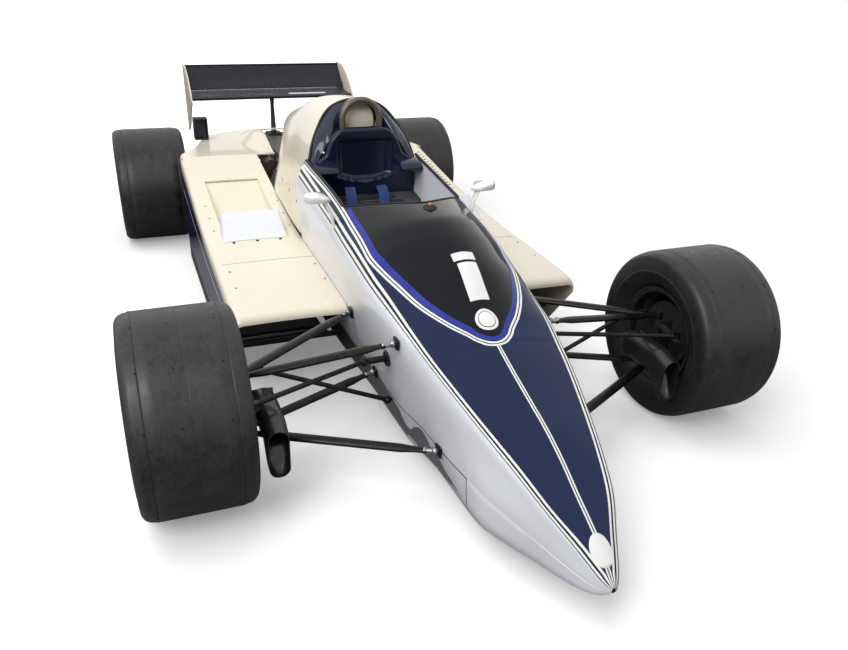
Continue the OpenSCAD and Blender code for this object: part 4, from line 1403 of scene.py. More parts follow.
    def rear_deck(self) -> None:
        """Builds the deck behind the pods, with a blister and an arch wall on each side."""
        bx, by, wide_r, lift = self.blister
        ys = spread((POD_REAR + 0.5, 0), (POD_REAR + self.arch_end, 12),
                    (POD_REAR + self.deck_end, 44))
        turn = self.deck_round
        rows = []
        for y in ys:
            wide = self.width(y)
            inner = min(mix(180, 130, max(0, (y - POD_REAR - 300) / 480)), wide - 10)
            row = []
            for t in spread((0, 0), (1, 34)):
                x = mix(inner, wide - turn, t)
                d = math.hypot((x - bx) / wide_r,
                               (y - POD_REAR - by) / (wide_r * self.blister_length))
                row.append(car(x, y, self.deck_z + lift * max(0.0, 1 - d * d) ** 1.6))
            for a in (20, 45, 70, 90):
                a = math.radians(a)
                row.append(car(wide - turn + turn * math.sin(a), y,
                               self.deck_z - turn * (1 - math.cos(a))))
            rows.append(row)
        deck = sheet("rear_deck_skin", rows)
        thicken(deck, 0.006)
        walls = [[car(self.width(y) - 0.5, y, z) for z in (562, 520, 450, 373)]
                 for y in ys[:13]]
        wall = sheet("arch", walls)
        thicken(wall, 0.005)
        deck = mirrored(join("rear_deck_skin", [deck, wall]))
        tail = [[car(x, y, 571.5) for x in spread((-134, 0), (134, 10))]
                for y in spread((POD_REAR + 742, 0), (POD_REAR + 779, 3))]
        bridge = thicken(sheet("tail", tail), 0.006)
        deck = join("rear_deck_skin", [deck, bridge])
        piece(deck, [Paint.CREAM], nodes=["rear_deck"], angle=40)

    def scoop(self) -> None:
        """Shapes the upright scoop: a box, its mouth inset and pushed in."""
        low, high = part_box("oil_cooler_scoop")
        obj = block("deck_scoop", low, high)
        with editing(obj, [p.normal.y < -0.9 for p in obj.data.polygons], faces=True):
            bpy.ops.mesh.inset(thickness=self.scoop_wall * MM)
            bpy.ops.mesh.extrude_region_move(
                TRANSFORM_OT_translate={"value": (0, self.scoop_depth * MM, 0)})
        round_edges(obj, 0.006, 3)
        piece(obj, [Paint.PANEL], slot=Slot.BLACK, nodes=["oil_cooler_scoop"])

    def build(self) -> None:
        """Builds pods, vents, louvres, rear deck and scoop."""
        self.build_side("pod_left", "sidepod_left", False)
        self.build_side("pod_right", "sidepod_right", True)
        self.vents()
        self.slots()
        self.rear_deck()
        self.scoop()


@dataclass
class EngineCover:
    """Cover from the roll hoop to the tail, in mm from the front axle."""

    stations: tuple = (
        (0, ((288, 440), (268, 600), (237, 749), (198, 850), (120, 952), (0, 988))),
        (0.15, ((288, 450), (265, 610), (230, 760), (190, 850), (115, 945), (0, 975))),
        (0.3, ((285, 470), (258, 620), (222, 760), (184, 845), (112, 933), (0, 955))),
        (0.46, ((280, 500), (250, 620), (222, 740), (190, 815), (112, 880), (0, 905))),
        (0.7, ((190, 535), (180, 620), (160, 710), (142, 770), (95, 812), (0, 830))),
        (0.85, ((125, 550), (122, 610), (113, 680), (98, 720), (60, 745), (0, 754))),
        (1, ((60, 560), (58, 600), (52, 640), (42, 665), (25, 680), (0, 684))))
    steps: tuple = (0, 0, 0, 40, 85, 85)

    def build(self) -> None:
        """Builds the cover, its front lip and its fasteners."""
        tail = (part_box("engine_cover")[1].y - FRONT_AXLE) / MM
        rows = []
        for share, points in self.stations:
            half = [(x, mix(BULKHEAD + 0.5 + step, tail, share), z)
                    for (x, z), step in zip(points, self.steps)]
            rows.append([(-x, y, z) for x, y, z in half] + half[-2::-1])
        grid = refine(refine(np.array(rows), 7, 0), 6, 1)
        grid[-1] = np.clip(grid[-1], None, [1e9, tail, 1e9])
        skin = np.array([[car(*p) for p in r] for r in grid])
        cover = sheet("engine_cover_skin", skin)
        thicken(cover, 0.005)
        piece(cover, [Paint.CREAM], nodes=["engine_cover"], angle=45)
        lip = sweep("cover_front_lip", [tuple(p) for p in skin[0][2:-2]], oval(0.006, 0.005, 10),
                    (0, -1, 0.3))
        piece(lip, [Paint.MATT], slot=Slot.BLACK)
        studs = []
        for r in range(4, len(skin) - 4, 6):
            for c, sign in ((4, -1), (len(skin[0]) - 5, 1)):
                at = Vector(skin[r][c])
                proud = Vector((sign * 0.0006, 0, 0))
                studs.append(puck(at + proud, 6 * MM, 3 * MM, (sign, 0, 0.1)))
        piece(join("cover_fasteners", studs), [Paint.STEEL], slot=Slot.METAL)


@dataclass
class Cockpit:
    """Seat, belts, headrest moulding, wheel, dash and hoop."""

    border: Callable[[float], float]
    border_z: Callable[[float], float]
    hull_x: float
    hull_z: float
    pocket: float = 118.0
    pocket_depth: float = 19.0
    roll_back: float = 25.5
    hoop_half: float = 95.0
    hoop_top: float = 1007.0
    dash_y: float = 342.0
    mirror_size: tuple = (0.092, 0.055, 0.05)
    mirror_y: float = 590.0
    mirror_z: float = 0.708
    helm_at: tuple = (0, 470, 588)
    helm_rake: float = 20.0

    def __post_init__(self) -> None:
        """Finds the headrest's front, in mm from the front axle."""
        self.front = (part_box("headrest")[0].y - FRONT_AXLE) / MM

    def headrest(self) -> None:
        """Moulds the glossy headrest with its pocket and rolled lip."""
        line = Line([(603, 232), (660, 234), (730, 236), (758, 205), (775, 180), (800, 168),
                     (840, 150), (866, 126), (880, 100), (888, 58)])
        front, top = self.front, line.at[-1]
        rows = []
        for z in spread((line.at[0], 0), (860, 34), (top, 8)):
            wide = line(z)
            row = []
            for s in spread((-1, 0), (1, 48)):
                x = s * wide
                edge = min(1, (wide - abs(x)) / 14, (top - z) / 14 + 0.02)
                y = self.roll_back * fall(1 - edge)
                inside = clamp((self.pocket + (z - 640) * 0.02 - abs(x)) / 16)
                foot = 664 + 24 * min(1, abs(x) / self.pocket) ** 2
                up = clamp((842 - z) / 16) * clamp((z - foot) / 12)
                lip = math.exp(-((z - foot + 6) / 6) ** 2) * clamp((132 - abs(x)) / 12)
                y += self.pocket_depth * ease(inside) * ease(up) - 9 * lip
                row.append(car(x, front + y, z))
            rows.append(row)
        pad = sheet("headrest_moulding", rows)
        thicken(pad, 0.004)
        piece(pad, [Paint.DEEP], slot=Slot.NAVY, nodes=["headrest"], angle=60)

    def shoulder_boxes(self) -> None:
        """Adds the ledges on both sides of the headrest."""
        front = self.front
        top = [[car(s * wide, y, z) for s in spread((-1, 0), (1, 24))]
               for y, z, wide in ((front + 2, 732, 236), (front - 25, 730, 236),
                                  (front - 58, 722, 235), (front - 76, 708, 234))]
        ledge = sheet("shoulder_boxes", refine(top, 4, 0), None,
                      lambda r, c: c < 5 or c >= 19)
        thicken(ledge, 0.02)
        round_edges(ledge, 0.005)
        piece(ledge, [Paint.DEEP], slot=Slot.NAVY)

    def fairing(self) -> None:
        """Closes the gap from headrest to engine cover: tinted sides, cream behind the hoop."""
        front = self.front
        outer = refine([(232, BULKHEAD, 742), (198, BULKHEAD + 38, 846), (119, BULKHEAD + 83, 946),
                        (60, BULKHEAD + 84, 974), (0, BULKHEAD + 84, 981)], 5)
        back = BULKHEAD + 44
        inner = refine([(230, front + 4, 733), (196, front + 22, 766), (148, front + 25, 838),
                        (96, back, 876), (0, back + 6, 872)], 5)
        rows = []
        for t in spread((0, 0), (1, 8)):
            half = [(mix(a[0], b[0], t), mix(a[1], b[1], t) - 10 * math.sin(math.pi * t),
                     mix(a[2], b[2], t) + 7 * math.sin(math.pi * t))
                    for a, b in zip(inner, outer)]
            rows.append([car(*p) for p in half + [(-x, y, z) for x, y, z in half[-2::-1]]])
        behind = [i for i, p in enumerate(rows[0]) if abs(p[0]) < 0.094]
        shield = sheet("headrest_fairing", rows, lambda r, c: 1 if c in behind[:-1] else 0)
        thicken(shield, 0.003)
        piece(shield, [Paint.TINT, Paint.CREAM], slot=Slot.SCREEN, angle=60)

    def lining(self) -> None:
        """Lines the cockpit's sides below the edging."""
        rows = []
        for y in spread((650, 0), (1140, 16)):
            x, z = self.border(y), self.border_z(y)
            rows.append([car(x - d, y, z - h) for d, h in ((4, 1), (6, 30), (10, 80), (18, 150))])
        lining = thicken(sheet("cockpit_lining", rows), 0.002, 0.0)
        piece(mirrored(lining), [Paint.WHITE])

    def seat(self) -> None:
        """Makes the padded seat: side bolsters, channels and a soft crown."""
        low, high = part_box("seat")
        half = (high.x - low.x) / 2 / MM
        back = (high.y - FRONT_AXLE) / MM
        top_z = high.z / MM
        line = [(525, 92), (640, 96), (780, 104), (850, 122), (905, 170), (960, 260), (1000, 360),
                (1035, 450), (1062, 530), (back - 52, top_z - 18)]
        under = [(525, 78), (640, 78), (780, 78), (870, 86), (960, 112), (1020, 210),
                 (1062, 320), (1090, 420), (1112, 510), (back - 6, top_z - 26)]
        top, bottom = refine(line, 4), refine(under, 4)
        rows = []
        count = 22
        for i, ((y, z), (uy, uz)) in enumerate(zip(top, bottom)):
            lean = Vector((0, y - uy, z - uz)).normalized()
            row = []
            for j in range(count + 1):
                s = -1 + 2 * j / count
                bolster = max(0.0, (abs(s) - 0.62) / 0.38) ** 1.5
                rib = 3.0 * abs(math.sin(i * math.pi / 5)) * (1 - abs(s))
                push = lean * (38 * bolster + rib - 12 * max(0.0, abs(s) - 0.93) / 0.07)
                row.append(car(s * (half - 4), y + push.y, z + push.z))
            for j in range(count, -1, -1):
                s = -1 + 2 * j / count
                row.append(car(s * (half - 4), uy, uz))
            row.append(row[0])
            rows.append(row)
        seat = tidy(sheet("seat_pad_cloth", rows), fill=True)
        self.puff(seat, 0.008)
        piece(seat, [Paint.PAD], slot=Slot.SEAT, nodes=["seat"], angle=60)

    def puff(self, obj: Obj, cap: float) -> None:
        """Fills a pad by cloth simulation, its swelling capped.

        Args:
            obj: The pad.
            cap: Furthest that a point may move, in metres.
        """
        modify(obj, "REMESH", mode="VOXEL", voxel_size=0.008, use_smooth_shade=True)
        start = np.array([v.co for v in obj.data.vertices])
        modifier = obj.modifiers.new("cloth", "CLOTH")
        modifier.settings.quality = 4
        modifier.settings.use_pressure = True
        modifier.settings.uniform_pressure_force = 3.0
        modifier.settings.effector_weights.gravity = 0.0
        scene = bpy.context.scene
        for number in range(1, 13):
            scene.frame_set(number)
        pick(obj)
        bpy.ops.object.modifier_apply(modifier=modifier.name)
        scene.frame_set(1)
        end = np.array([v.co for v in obj.data.vertices])
        move = end - start
        reach = np.linalg.norm(move, axis=1, keepdims=True)
        end = start + move * np.minimum(1, cap / np.maximum(reach, 1e-9)) * 0.6
        obj.data.vertices.foreach_set("co", end.ravel())
        obj.data.update()

    def belts(self) -> None:
        """Lays the blue harness over the seat, with its buckle."""
        straps = []
        webbing = rounded_box(23 * MM, 1.6 * MM, 1.2 * MM, 1)
        for side in (-1, 1):
            shoulder = refine([car(side * 70, 1112, 640), car(side * 74, 1075, 610),
                               car(side * 72, 1040, 520), car(side * 60, 1000, 420),
                               car(side * 34, 925, 262), car(side * 12, 880, 205)], 5)
            lap = refine([car(side * 150, 960, 240), car(side * 110, 930, 236),
                          car(side * 60, 895, 218), car(side * 12, 878, 205)], 5)
            for path, tilt in ((shoulder, (0, -0.8, 0.6)), (lap, (0, -0.6, 0.8))):
                straps.append(sweep("strap", path, webbing, tilt))
        piece(join("harness_straps", straps), [Paint.BELT], slot=Slot.SEAT, angle=50)
        buckle = turned("harness_buckle", [(0.001, 0.014), (0.02, 0.014), (0.026, 0.01),
                                           (0.028, 0.002), (0.028, -0.006), (0.001, -0.006)],
                        car(0, 874, 208), (0, -0.6, 0.8), 32)
        piece(buckle, [Paint.STEEL], slot=Slot.METAL)

    def helm(self) -> None:
        """Builds the steering wheel: padded rim, spokes, hub and shaft."""
        low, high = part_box("steering_wheel")
        centre = Vector(car(*self.helm_at))
        rake = math.radians(self.helm_rake)
        axis = Vector((0, math.cos(rake), math.sin(rake)))
        across, up = Vector((1, 0, 0)), axis.cross(Vector((1, 0, 0)))
        radius = (high.x - low.x) / 2 - 0.012
        ring = [centre + across * (radius * math.cos(a)) + up * (radius * math.sin(a))
                for a in (2 * math.pi * i / 64 for i in range(64))]
        wheel = sweep("wheel_rim_grip", ring, oval(0.012, 0.013, 16), tuple(axis), closed=True)
        piece(wheel, [Paint.SUEDE], Body.HELM, Slot.GRIP, ["steering_wheel"])
        parts = []
        for a in (0, 120, 240):
            a = math.radians(a)
            out = across * math.cos(a) + up * math.sin(a)
            parts.append(sweep("spoke", [centre + out * 0.02, centre + out * 0.07,
                                         centre + out * (radius - 0.004)],
                               rounded_box(0.013, 0.0025, 0.002, 2), tuple(axis)))
        parts.append(turned("hub", [(0.001, 0.012), (0.024, 0.012), (0.03, 0.006), (0.031, -0.01),
                                    (0.001, -0.01)], centre, tuple(axis), 32))
        shaft = centre - axis * 0.228
        parts.append(sweep("shaft", [shaft, centre - axis * 0.01], oval(0.012, 0.012, 20),
                           (1, 0, 0)))
        piece(join("wheel_hub_and_spokes", parts), [Paint.ARM], Body.HELM, Slot.GRIP)

    def dials(self) -> None:
        """Adds three round gauges with pointers to the dash."""
        dash = FRONT_AXLE + self.dash_y * MM
        for index, (x, z, r) in enumerate(((0, 632, 38), (-78, 604, 26), (78, 604, 26))):
            at = (x * MM, dash, z * MM)
            bezel = turned(f"gauge_bezel_{index}", [(r * MM, 0), (r * MM, 0.012),
                                                    ((r - 2) * MM, 0.014), ((r - 5) * MM, 0.012),
                                                    ((r - 5) * MM, 0.0)], at, (0, 1, 0), 40)
            piece(bezel, [Paint.ARM], slot=Slot.METAL)
            face = [puck(at, (r - 4) * MM, 0.008, (0, 1, 0), 32)]
            piece(join(f"gauge_face_{index}", face), [Paint.DIAL], slot=Slot.BLACK)

            def mark(degrees: float, start: float, end: float, lift: float, wide: float,
                     tall: float) -> Obj:
                """Returns a stroke on the face from one radius to another, in mm."""
                c, s = math.cos(math.radians(degrees)), math.sin(math.radians(degrees))
                ends = [(at[0] + c * q * MM, dash + lift, at[2] + s * q * MM)
                        for q in (start, end)]
                return rod("mark", *ends, wide, tall, (0, 1, 0))

            hand = [mark(35 + 40 * index, 0, r - 9, 0.0052, 0.0011, 0.0007)]
            hand += [mark(-40 + 32 * k, r - 7, r - 11, 0.0045, 0.0008, 0.0005) for k in range(9)]
            piece(join(f"gauge_marks_{index}", hand), [Paint.STRIPE], slot=Slot.PAINT)

    def hoop(self) -> None:
        """Bends the roll hoop: a tube along its front with a web behind."""
        r, mid = self.hoop_half - 13, self.hoop_top - self.hoop_half
        path = [(-r, z) for z in spread((621, 0), (mid, 8))]
        path += [(-r * math.cos(math.radians(a)), mid + r * math.sin(math.radians(a)))
                 for a in range(9, 180, 9)]
        path += [(r, z) for z in spread((mid, 0), (621, 8))]
        y0 = BULKHEAD + 13
        line = [car(x, y0, z) for x, z in path]
        tube = sweep("roll_hoop_tube", line, oval(0.0128, 0.0125, 20), (0, 1, 0))
        web = sweep("hoop_web", [car(x, y0 + 36, z) for x, z in path],
                    rounded_box(0.003, 0.030, 0.002, 2), (0, 1, 0))
        inner = [car(x * 0.82, y0 + 30, mix(z, 640, 0.02)) for x, z in path[4:-4]]
        piece(join("roll_hoop_frame", [tube, web]), [Paint.HOOP], slot=Slot.HOOP,
              nodes=["roll_hoop"], angle=50)
        lead = sweep("hoop_lead", inner, oval(0.003, 0.003, 8), (0, 1, 0))
        piece(lead, [Paint.MATT], slot=Slot.BLACK)

    def mirrors(self) -> None:
        """Shapes the two mirror pods from cubes, with their glass and stalks."""
        x1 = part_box("mirrors")[1].x
        x0 = x1 - self.mirror_size[0]
        y0, z0 = FRONT_AXLE + self.mirror_y * MM, self.mirror_z
        size = Vector(self.mirror_size)
        deselect()
        bpy.ops.mesh.primitive_cube_add(size=1, location=Vector((x0, y0, z0)) + size / 2)
        pod = fresh("mirror_pods")
        pod.scale = size
        settle(pod)
        with editing(pod):
            bpy.ops.mesh.subdivide(number_cuts=1)
        for vertex in pod.data.vertices:
            if vertex.co.y < y0 + 0.001:
                vertex.co.x = mix(vertex.co.x, x0 + 0.046, 0.45)
                vertex.co.z = mix(vertex.co.z, z0 + 0.025, 0.4)
        modify(pod, "SUBSURF", levels=3, render_levels=3)
        back = max(v.co.y for v in pod.data.vertices)
        scale = 0.055 / (back - min(v.co.y for v in pod.data.vertices))
        centre = Vector((x0 + 0.046, y0 + 0.0275, z0 + 0.025))
        for vertex in pod.data.vertices:
            off = vertex.co - centre
            vertex.co = centre + Vector((off.x * 1.1, off.y * min(scale, 1.1), off.z * 0.95))
            vertex.co.y = min(vertex.co.y, y0 + 0.05)
            share = clamp((vertex.co.x - x0) / 0.05)
            vertex.co.z = z0 + 0.025 + (vertex.co.z - z0 - 0.025) * mix(0.45, 0.86, share)
            vertex.co.z -= 0.01 * (1 - share)
        piece(mirrored(pod), [Paint.STRIPE], nodes=["mirrors"], angle=60)
        glass = plate("mirror_glass", [(x0 + 0.046 + a, y0 + 0.0505, z0 + 0.025 + b)
                                       for a, b in rounded_box(0.036, 0.018, 0.014)],
                      (0, 0.002, 0))
        piece(mirrored(glass), [Paint.GLASS], slot=Slot.METAL, angle=30)
        foot = Vector((self.hull_x, y0 + 0.025, self.hull_z))
        top = Vector((x0 + 0.02, y0 + 0.028, z0 + 0.012))
        path = refine([foot, foot.lerp(top, 0.5) + Vector((-0.006, 0, 0.0)), top], 6)
        stalk = sweep("mirror_stalks", path, oval(0.0055, 0.016, 16), (0, 1, 0))
        piece(mirrored(stalk), [Paint.STRIPE])

    def build(self) -> None:
        """Builds every piece of the cockpit."""
        self.headrest()
        self.shoulder_boxes()
        self.fairing()
        self.lining()
        self.seat()
        self.belts()
        self.helm()
        self.dials()
        self.hoop()
        self.mirrors()


# ------------------------------------------------------------------ running gear


@dataclass
class Wheel:
    """One wheel: slick tyre, rim furniture and the body that it rides on."""

    place: str
    rim_half: float
    lip: float = 178.0
    bead: float = 165.0
    shoulder: float = 33.0
    groove: float = 1.6
    hole_rows: tuple = (-0.3, 0.08, 0.36)
    hole_radius: float = 3.5
    web_depth: float = 61.0

    def __post_init__(self) -> None:
        """Reads the tyre's place and size from its CAD node."""
        low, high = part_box(f"tyre_{self.place}")
        self.centre = (low + high) / 2
        self.side = 1 if self.centre.x > 0 else -1
        self.radius = (high.z - low.z) / 2 / MM
        self.width = (high.x - low.x) / MM
        self.body = Body(f"wheel_{self.place}")

    def at(self, out: Vector, reach: float, across: float) -> Vector:
        """Returns the point at a reach from the axle and a distance toward its outer face."""
        return self.centre + out * reach + Vector((self.side * across, 0, 0))

    def tyre(self) -> None:
        """Turns the slick from its profile, with near black discs round the tread as painted shade
        for its wear holes.
        """
        r, w, h = self.radius, self.width, self.rim_half
        half = [(self.bead + 1, h - 17), (self.lip + 1, h - 11), (self.lip + 5, h - 3),
                (self.lip + 13, h + 3), (self.lip + 30, w / 2 - 7), (self.lip + 52, w / 2 - 1.5),
                (self.lip + 54, w / 2), (self.lip + 60, w / 2), (self.lip + 62, w / 2 - 1.5),
                (r - 62, w / 2 - 1), (r - 42, w / 2 - 3)]
        for a in spread((15, 0), (90, 7)):
            a = math.radians(a)
            half.append((r - 34 + 31 * math.sin(a), w / 2 - 36 + self.shoulder * math.cos(a)))
        ridge = w * 0.35
        crown = [(r - 0.3, ridge + 4), (r - 0.3, ridge + 1.2), (r - self.groove, ridge),
                 (r - 0.3, ridge - 1.2), (r - 0.2, w / 4), (r, 2), (r, 1.2), (r - 1, 0)]
        profile = half + crown + [(p, -q) for p, q in reversed(half + crown[:-1])]
        profile = [(p * MM, q * MM) for p, q in profile]
        wall = len(half) - 6

        def band(_: int, c: int) -> int:
            """Returns tread or side wall."""
            return 1 if c < wall or c > len(profile) - wall - 2 else 0

        tyre = turned(f"slick_{self.place}", profile, self.centre, (1, 0, 0), 128, band)
        piece(tyre, [Paint.RUBBER, Paint.WALL], self.body, Slot.TYRE,
              [f"tyre_{self.place}"], angle=50)
        # the wear holes are near black discs laid on the tread: painted shade
        holes = []
        for out in spokes(12, 0.3):
            for across in self.hole_rows:
                at = self.at(out, (r - 1.0) * MM, across * w * MM)
                holes.append(puck(at, self.hole_radius * MM, 2.2 * MM, tuple(out), 8))
        piece(join(f"wear_holes_{self.place}", holes), [Paint.PIT], self.body, Slot.TYRE)

    def furniture(self) -> None:
        """Adds the web's ribs and boss, drive pins, rim bolts and wheel nut."""
        outward = (self.side, 0, 0)
        face = (self.rim_half - self.web_depth) * MM
        seat = self.centre + Vector((self.side * face, 0, 0))
        parts = []
        for out in spokes(8):
            start, end = self.at(out, 0.05, face + 0.014), self.at(out, 0.139, face + 0.006)
            parts.append(sweep("rib", [start, start.lerp(end, 0.5), end],
                               rounded_box(0.011, 0.012, 0.006, 3), outward,
                               scale=(1.0, 0.8, 1.15)))
        parts.append(turned("boss", [(0.036, 0), (0.062, 0), (0.058, 0.012), (0.05, 0.02),
                                     (0.036, 0.022), (0.036, 0)], seat, outward, 48))
        piece(join(f"rim_ribs_{self.place}", parts), [Paint.RIM], self.body, Slot.RIM,
              angle=45)
        shine = [puck(self.at(out, 0.053, face + 0.02), 0.005, 0.01, outward, 10)
                 for out in spokes(6, 0.5)]
        shine += [puck(self.at(out, 0.161, self.rim_half * MM - 0.012), 0.0032, 0.006, outward, 6)
                  for out in spokes(24)]
        shine.append(turned("nut", [(0.014, 0.048), (0.024, 0.05), (0.027, 0.044), (0.028, 0.034),
                                    (0.014, 0.034), (0.014, 0.048)], seat, outward, 24))
        piece(join(f"rim_bolts_{self.place}", shine), [Paint.STEEL], self.body, Slot.METAL)

    def build(self) -> None:
        """Builds the tyre and the rim's furniture."""
        self.tyre()
        self.furniture()


@dataclass
class Suspension:
    """Arms, ducts and rods, in mm from the front axle."""

    hull: Hull
    kingpin: float = 757.5
    lower_z: float = 200.0
    upper_z: float = 383.0
    leg_tall: float = 10.5
    upper_legs: tuple = ((-45, 445), (400, 367))
    lower_legs: tuple = ((-290, 196), (210, 215))
    boots: tuple = (148, 660)

    def pickup(self, y: float, z: float) -> Vector:
        """Returns the seat of an arm on the hull's side."""
        return Vector(car(self.hull.side(y)(z) + 16, y, z))

    def fork(self, name: str, node: str, legs: Sequence[Point], eye_z: float, wide: float) -> None:
        """Builds one pair of wishbones: flattened legs, bright ends and eyes.

        Args:
            name: The piece's name.
            node: The CAD node that it stands for.
            legs: Station and height of each leg's inner end.
            eye_z: Height of the outer eye.
            wide: Half the width of a leg.
        """
        eye = Vector(car(self.kingpin, 0, eye_z))
        arms, ends = [], []
        for y, z in legs:
            foot = self.pickup(y, z)
            along = (foot - eye).normalized()
            tip = eye + along * 0.03
            arms.append(rod("leg", foot - along * 0.026, tip, wide * MM, self.leg_tall * MM,
                            (0, 0, 1), 0.7))
            ends.append(rod("end", foot - along * 0.03, foot - along * 0.008, 0.0085))
            ends.append(puck(foot - along * 0.031, 0.0125, 0.01, tuple(along), 6))
            ends.append(turned("ball", [(0.0005, -0.013), (0.009, -0.0095), (0.013, 0),
                                        (0.009, 0.0095), (0.0005, 0.013)], foot, (0, 0, 1), 24))
            arms.append(block("clevis", foot - Vector((0.015, 0.02, 0.018)),
                              foot + Vector((-0.006, 0.02, 0.018)), 0.004))
        arms.append(ring("eye", 0.0083, 0.015, 0.009, eye))
        piece(mirrored(join(name, arms)), [Paint.ARM], slot=Slot.ARM, nodes=[node], angle=50)
        piece(mirrored(join(f"{name}_ends", ends)), [Paint.STEEL], slot=Slot.METAL, angle=50)

    def duct(self, name: str, node: str, body: Body, left: bool) -> None:
        """Lofts one brake duct: a tall mouth that narrows to the upright.

        Args:
            name: The piece's name.
            node: The CAD node that it stands for.
            body: The knuckle that it turns with.
            left: Whether it is the car's left one.
        """
        low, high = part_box(node)
        x0 = (low.x if left else -high.x) / MM
        stations = [(-213, 152, 310, 31), (-200, 158, 314, 32), (-178, 178, 322, 33),
                    (-150, 229, 331, 34), (-100, 232, 331, 35), (-40, 232, 330, 35),
                    (22, 236, 327, 34)]
        rows = []
        for y, z0, z1, wide in refine(stations, 3):
            outline = rounded_box(wide, (z1 - z0) / 2, min(30, wide - 1), 7)
            rows.append([car(x0 + 36 + a, y - b * 0.05, (z0 + z1) / 2 + b)
                         for a, b in outline + [outline[0]]])
        duct = tidy(sheet(name, rows))
        thicken(duct, 0.0025)
        neck = block("neck", car(x0 + 66, -24, 240), car(x0 + 107, 24, 322), 0.008)
        cap = block("cap", car(x0 + 4, 14, 238), car(x0 + 68, 22, 325), 0.006)
        duct = join(name, [duct, neck, cap])
        if not left:
            flipped(duct)
        piece(duct, [Paint.DUCT], body, Slot.BLACK, [node], angle=50)

    def build(self) -> None:
        """Builds both front wishbone pairs, pull rods and ducts."""
        self.fork("upper_wishbones", "front_upper_wishbones", self.upper_legs, self.upper_z, 19)
        self.fork("lower_wishbones", "front_lower_wishbones", self.lower_legs, self.lower_z, 18)
        self.duct("front_duct_left", "brake_duct_left", Body.KNUCKLE_LEFT, True)
        self.duct("front_duct_right", "brake_duct_right", Body.KNUCKLE_RIGHT, False)
        dress(Paint.ARM, "front_pull_rods", "rear_wishbones", "steering_rack", "drive_shafts")
        dress(Paint.CAST, "rear_uprights")
        dress(Paint.RIM, "front_upright_left", "front_upright_right", "rim_front_left",
              "rim_front_right", "rim_rear_left", "rim_rear_right")
        boots = []
        for x in self.boots:
            profile = [(0.02, 0)] + [((0.052 if k % 2 else 0.043) * (1 - 0.04 * k), 0.008 * k)
                                     for k in range(7)] + [(0.02, 0.05), (0.02, 0)]
            lean = 1 if x < 400 else -1
            boots.append(turned("boot", profile, (x * MM, REAR_AXLE, middle("tyre_rear_left").z),
                                (lean, 0, 0), 36))
        piece(mirrored(join("drive_shaft_boots", boots)), [Paint.WALL], slot=Slot.TYRE)


@dataclass
class RearWing:
    """Aerofoils, end plates and post, in mm from the front axle."""

    half: float = 519.0
    main: tuple = (225, 0.12, 0.07, 6)
    main_nose: tuple = (332, 753)
    flap: tuple = (196, 0.1, 0.06, 43)
    flap_nose: tuple = (531, 781)
    end_corner: tuple = (712, 930)
    end_outline: tuple = ((0, 0), (-60, -3), (-132, -8), (-200, -30), (-262, -62), (-330, -110),
                          (-388, -160), (-402, -190), (-380, -215), (-312, -245), (-230, -308),
                          (-150, -370), (-80, -404), (-12, -432), (0, -425))

    def foil(self, chord: float, thick: float, camber: float, angle: float,
             nose: Point) -> list[tuple[float, float]]:
        """Points of an aerofoil, nose first, round its lower then its upper face.

        Args:
            chord: Its chord.
            thick: Thickness as a share of the chord.
            camber: Camber as a share of the chord.
            angle: Its angle in degrees.
            nose: Station and height of its nose.

        Returns:
            Station and height of each point.
        """
        xs = [(1 - math.cos(math.pi * i / 24)) / 2 for i in range(25)]

        def half(t: float) -> float:
            """Returns half the thickness at a share of the chord."""
            return 5 * thick * (0.2969 * math.sqrt(t) - 0.126 * t - 0.3516 * t**2
                                + 0.2843 * t**3 - 0.1 * t**4)

        points = [(t * chord, (-4 * camber * t * (1 - t) - half(t)) * chord) for t in xs]
        points += [(t * chord, (-4 * camber * t * (1 - t) + half(t)) * chord)
                   for t in reversed(xs[1:-1])]
        a = math.radians(angle)
        return [(nose[0] + x * math.cos(a) - z * math.sin(a),
                 nose[1] + x * math.sin(a) + z * math.cos(a)) for x, z in points]

    def plane(self, name: str, node: str, outline: Sequence[Point]) -> None:
        """Builds one plane across the car from its outline."""
        rows = [[car(x, y, z) for y, z in list(outline) + [outline[0]]]
                for x in spread((-self.half, 0), (self.half, 12))]
        obj = tidy(sheet(name, rows), fill=True)
        piece(obj, [Paint.WING], slot=Slot.WING, nodes=[node], angle=40)

    def build(self) -> None:
        """Builds the planes, their patch and lip, the end plates and the post."""
        main = self.foil(*self.main, (WHEELBASE + self.main_nose[0], self.main_nose[1]))
        flap = self.foil(*self.flap, (WHEELBASE + self.flap_nose[0], self.flap_nose[1]))
        self.plane("main_plane", "rear_wing", main)
        self.plane("flap_plane", "rear_wing_flap", flap)
        upper = sorted(main[25:], key=lambda p: p[0])
        surface = Line(upper)
        patch("wing_patch", 235, WHEELBASE + 415, rounded_box(125, 26, 3),
              lambda x, y: surface(y), 1.0, Paint.STRIPE, Slot.WING)
        top = max(flap, key=lambda p: p[1])
        lip = block("flap_lip", car(-self.half, top[0] - 3, top[1] - 4),
                    car(self.half, top[0] + 1, top[1] + 9), 0.001, 1)
        piece(lip, [Paint.ARM], slot=Slot.ARM)
        y, z = WHEELBASE + self.end_corner[0], self.end_corner[1]
        outline = [car(self.half + 1, y + a, z + b) for a, b in self.end_outline]
        edge = plate("wing_end_plates", outline, (0.008, 0, 0), 0.002)
        piece(mirrored(edge), [Paint.CREAM], nodes=["wing_endplates"], angle=35)
        bolts = []
        for a, b in main[3:22:6] + flap[3:22:6]:
            bolts.append(puck(car(self.half + 9.4, a, b + 4), 0.005, 0.0025, (1, 0, 0), 10))
        piece(mirrored(join("end_plate_bolts", bolts)), [Paint.STEEL], slot=Slot.METAL)
        dress(Paint.MATT, "wing_post")


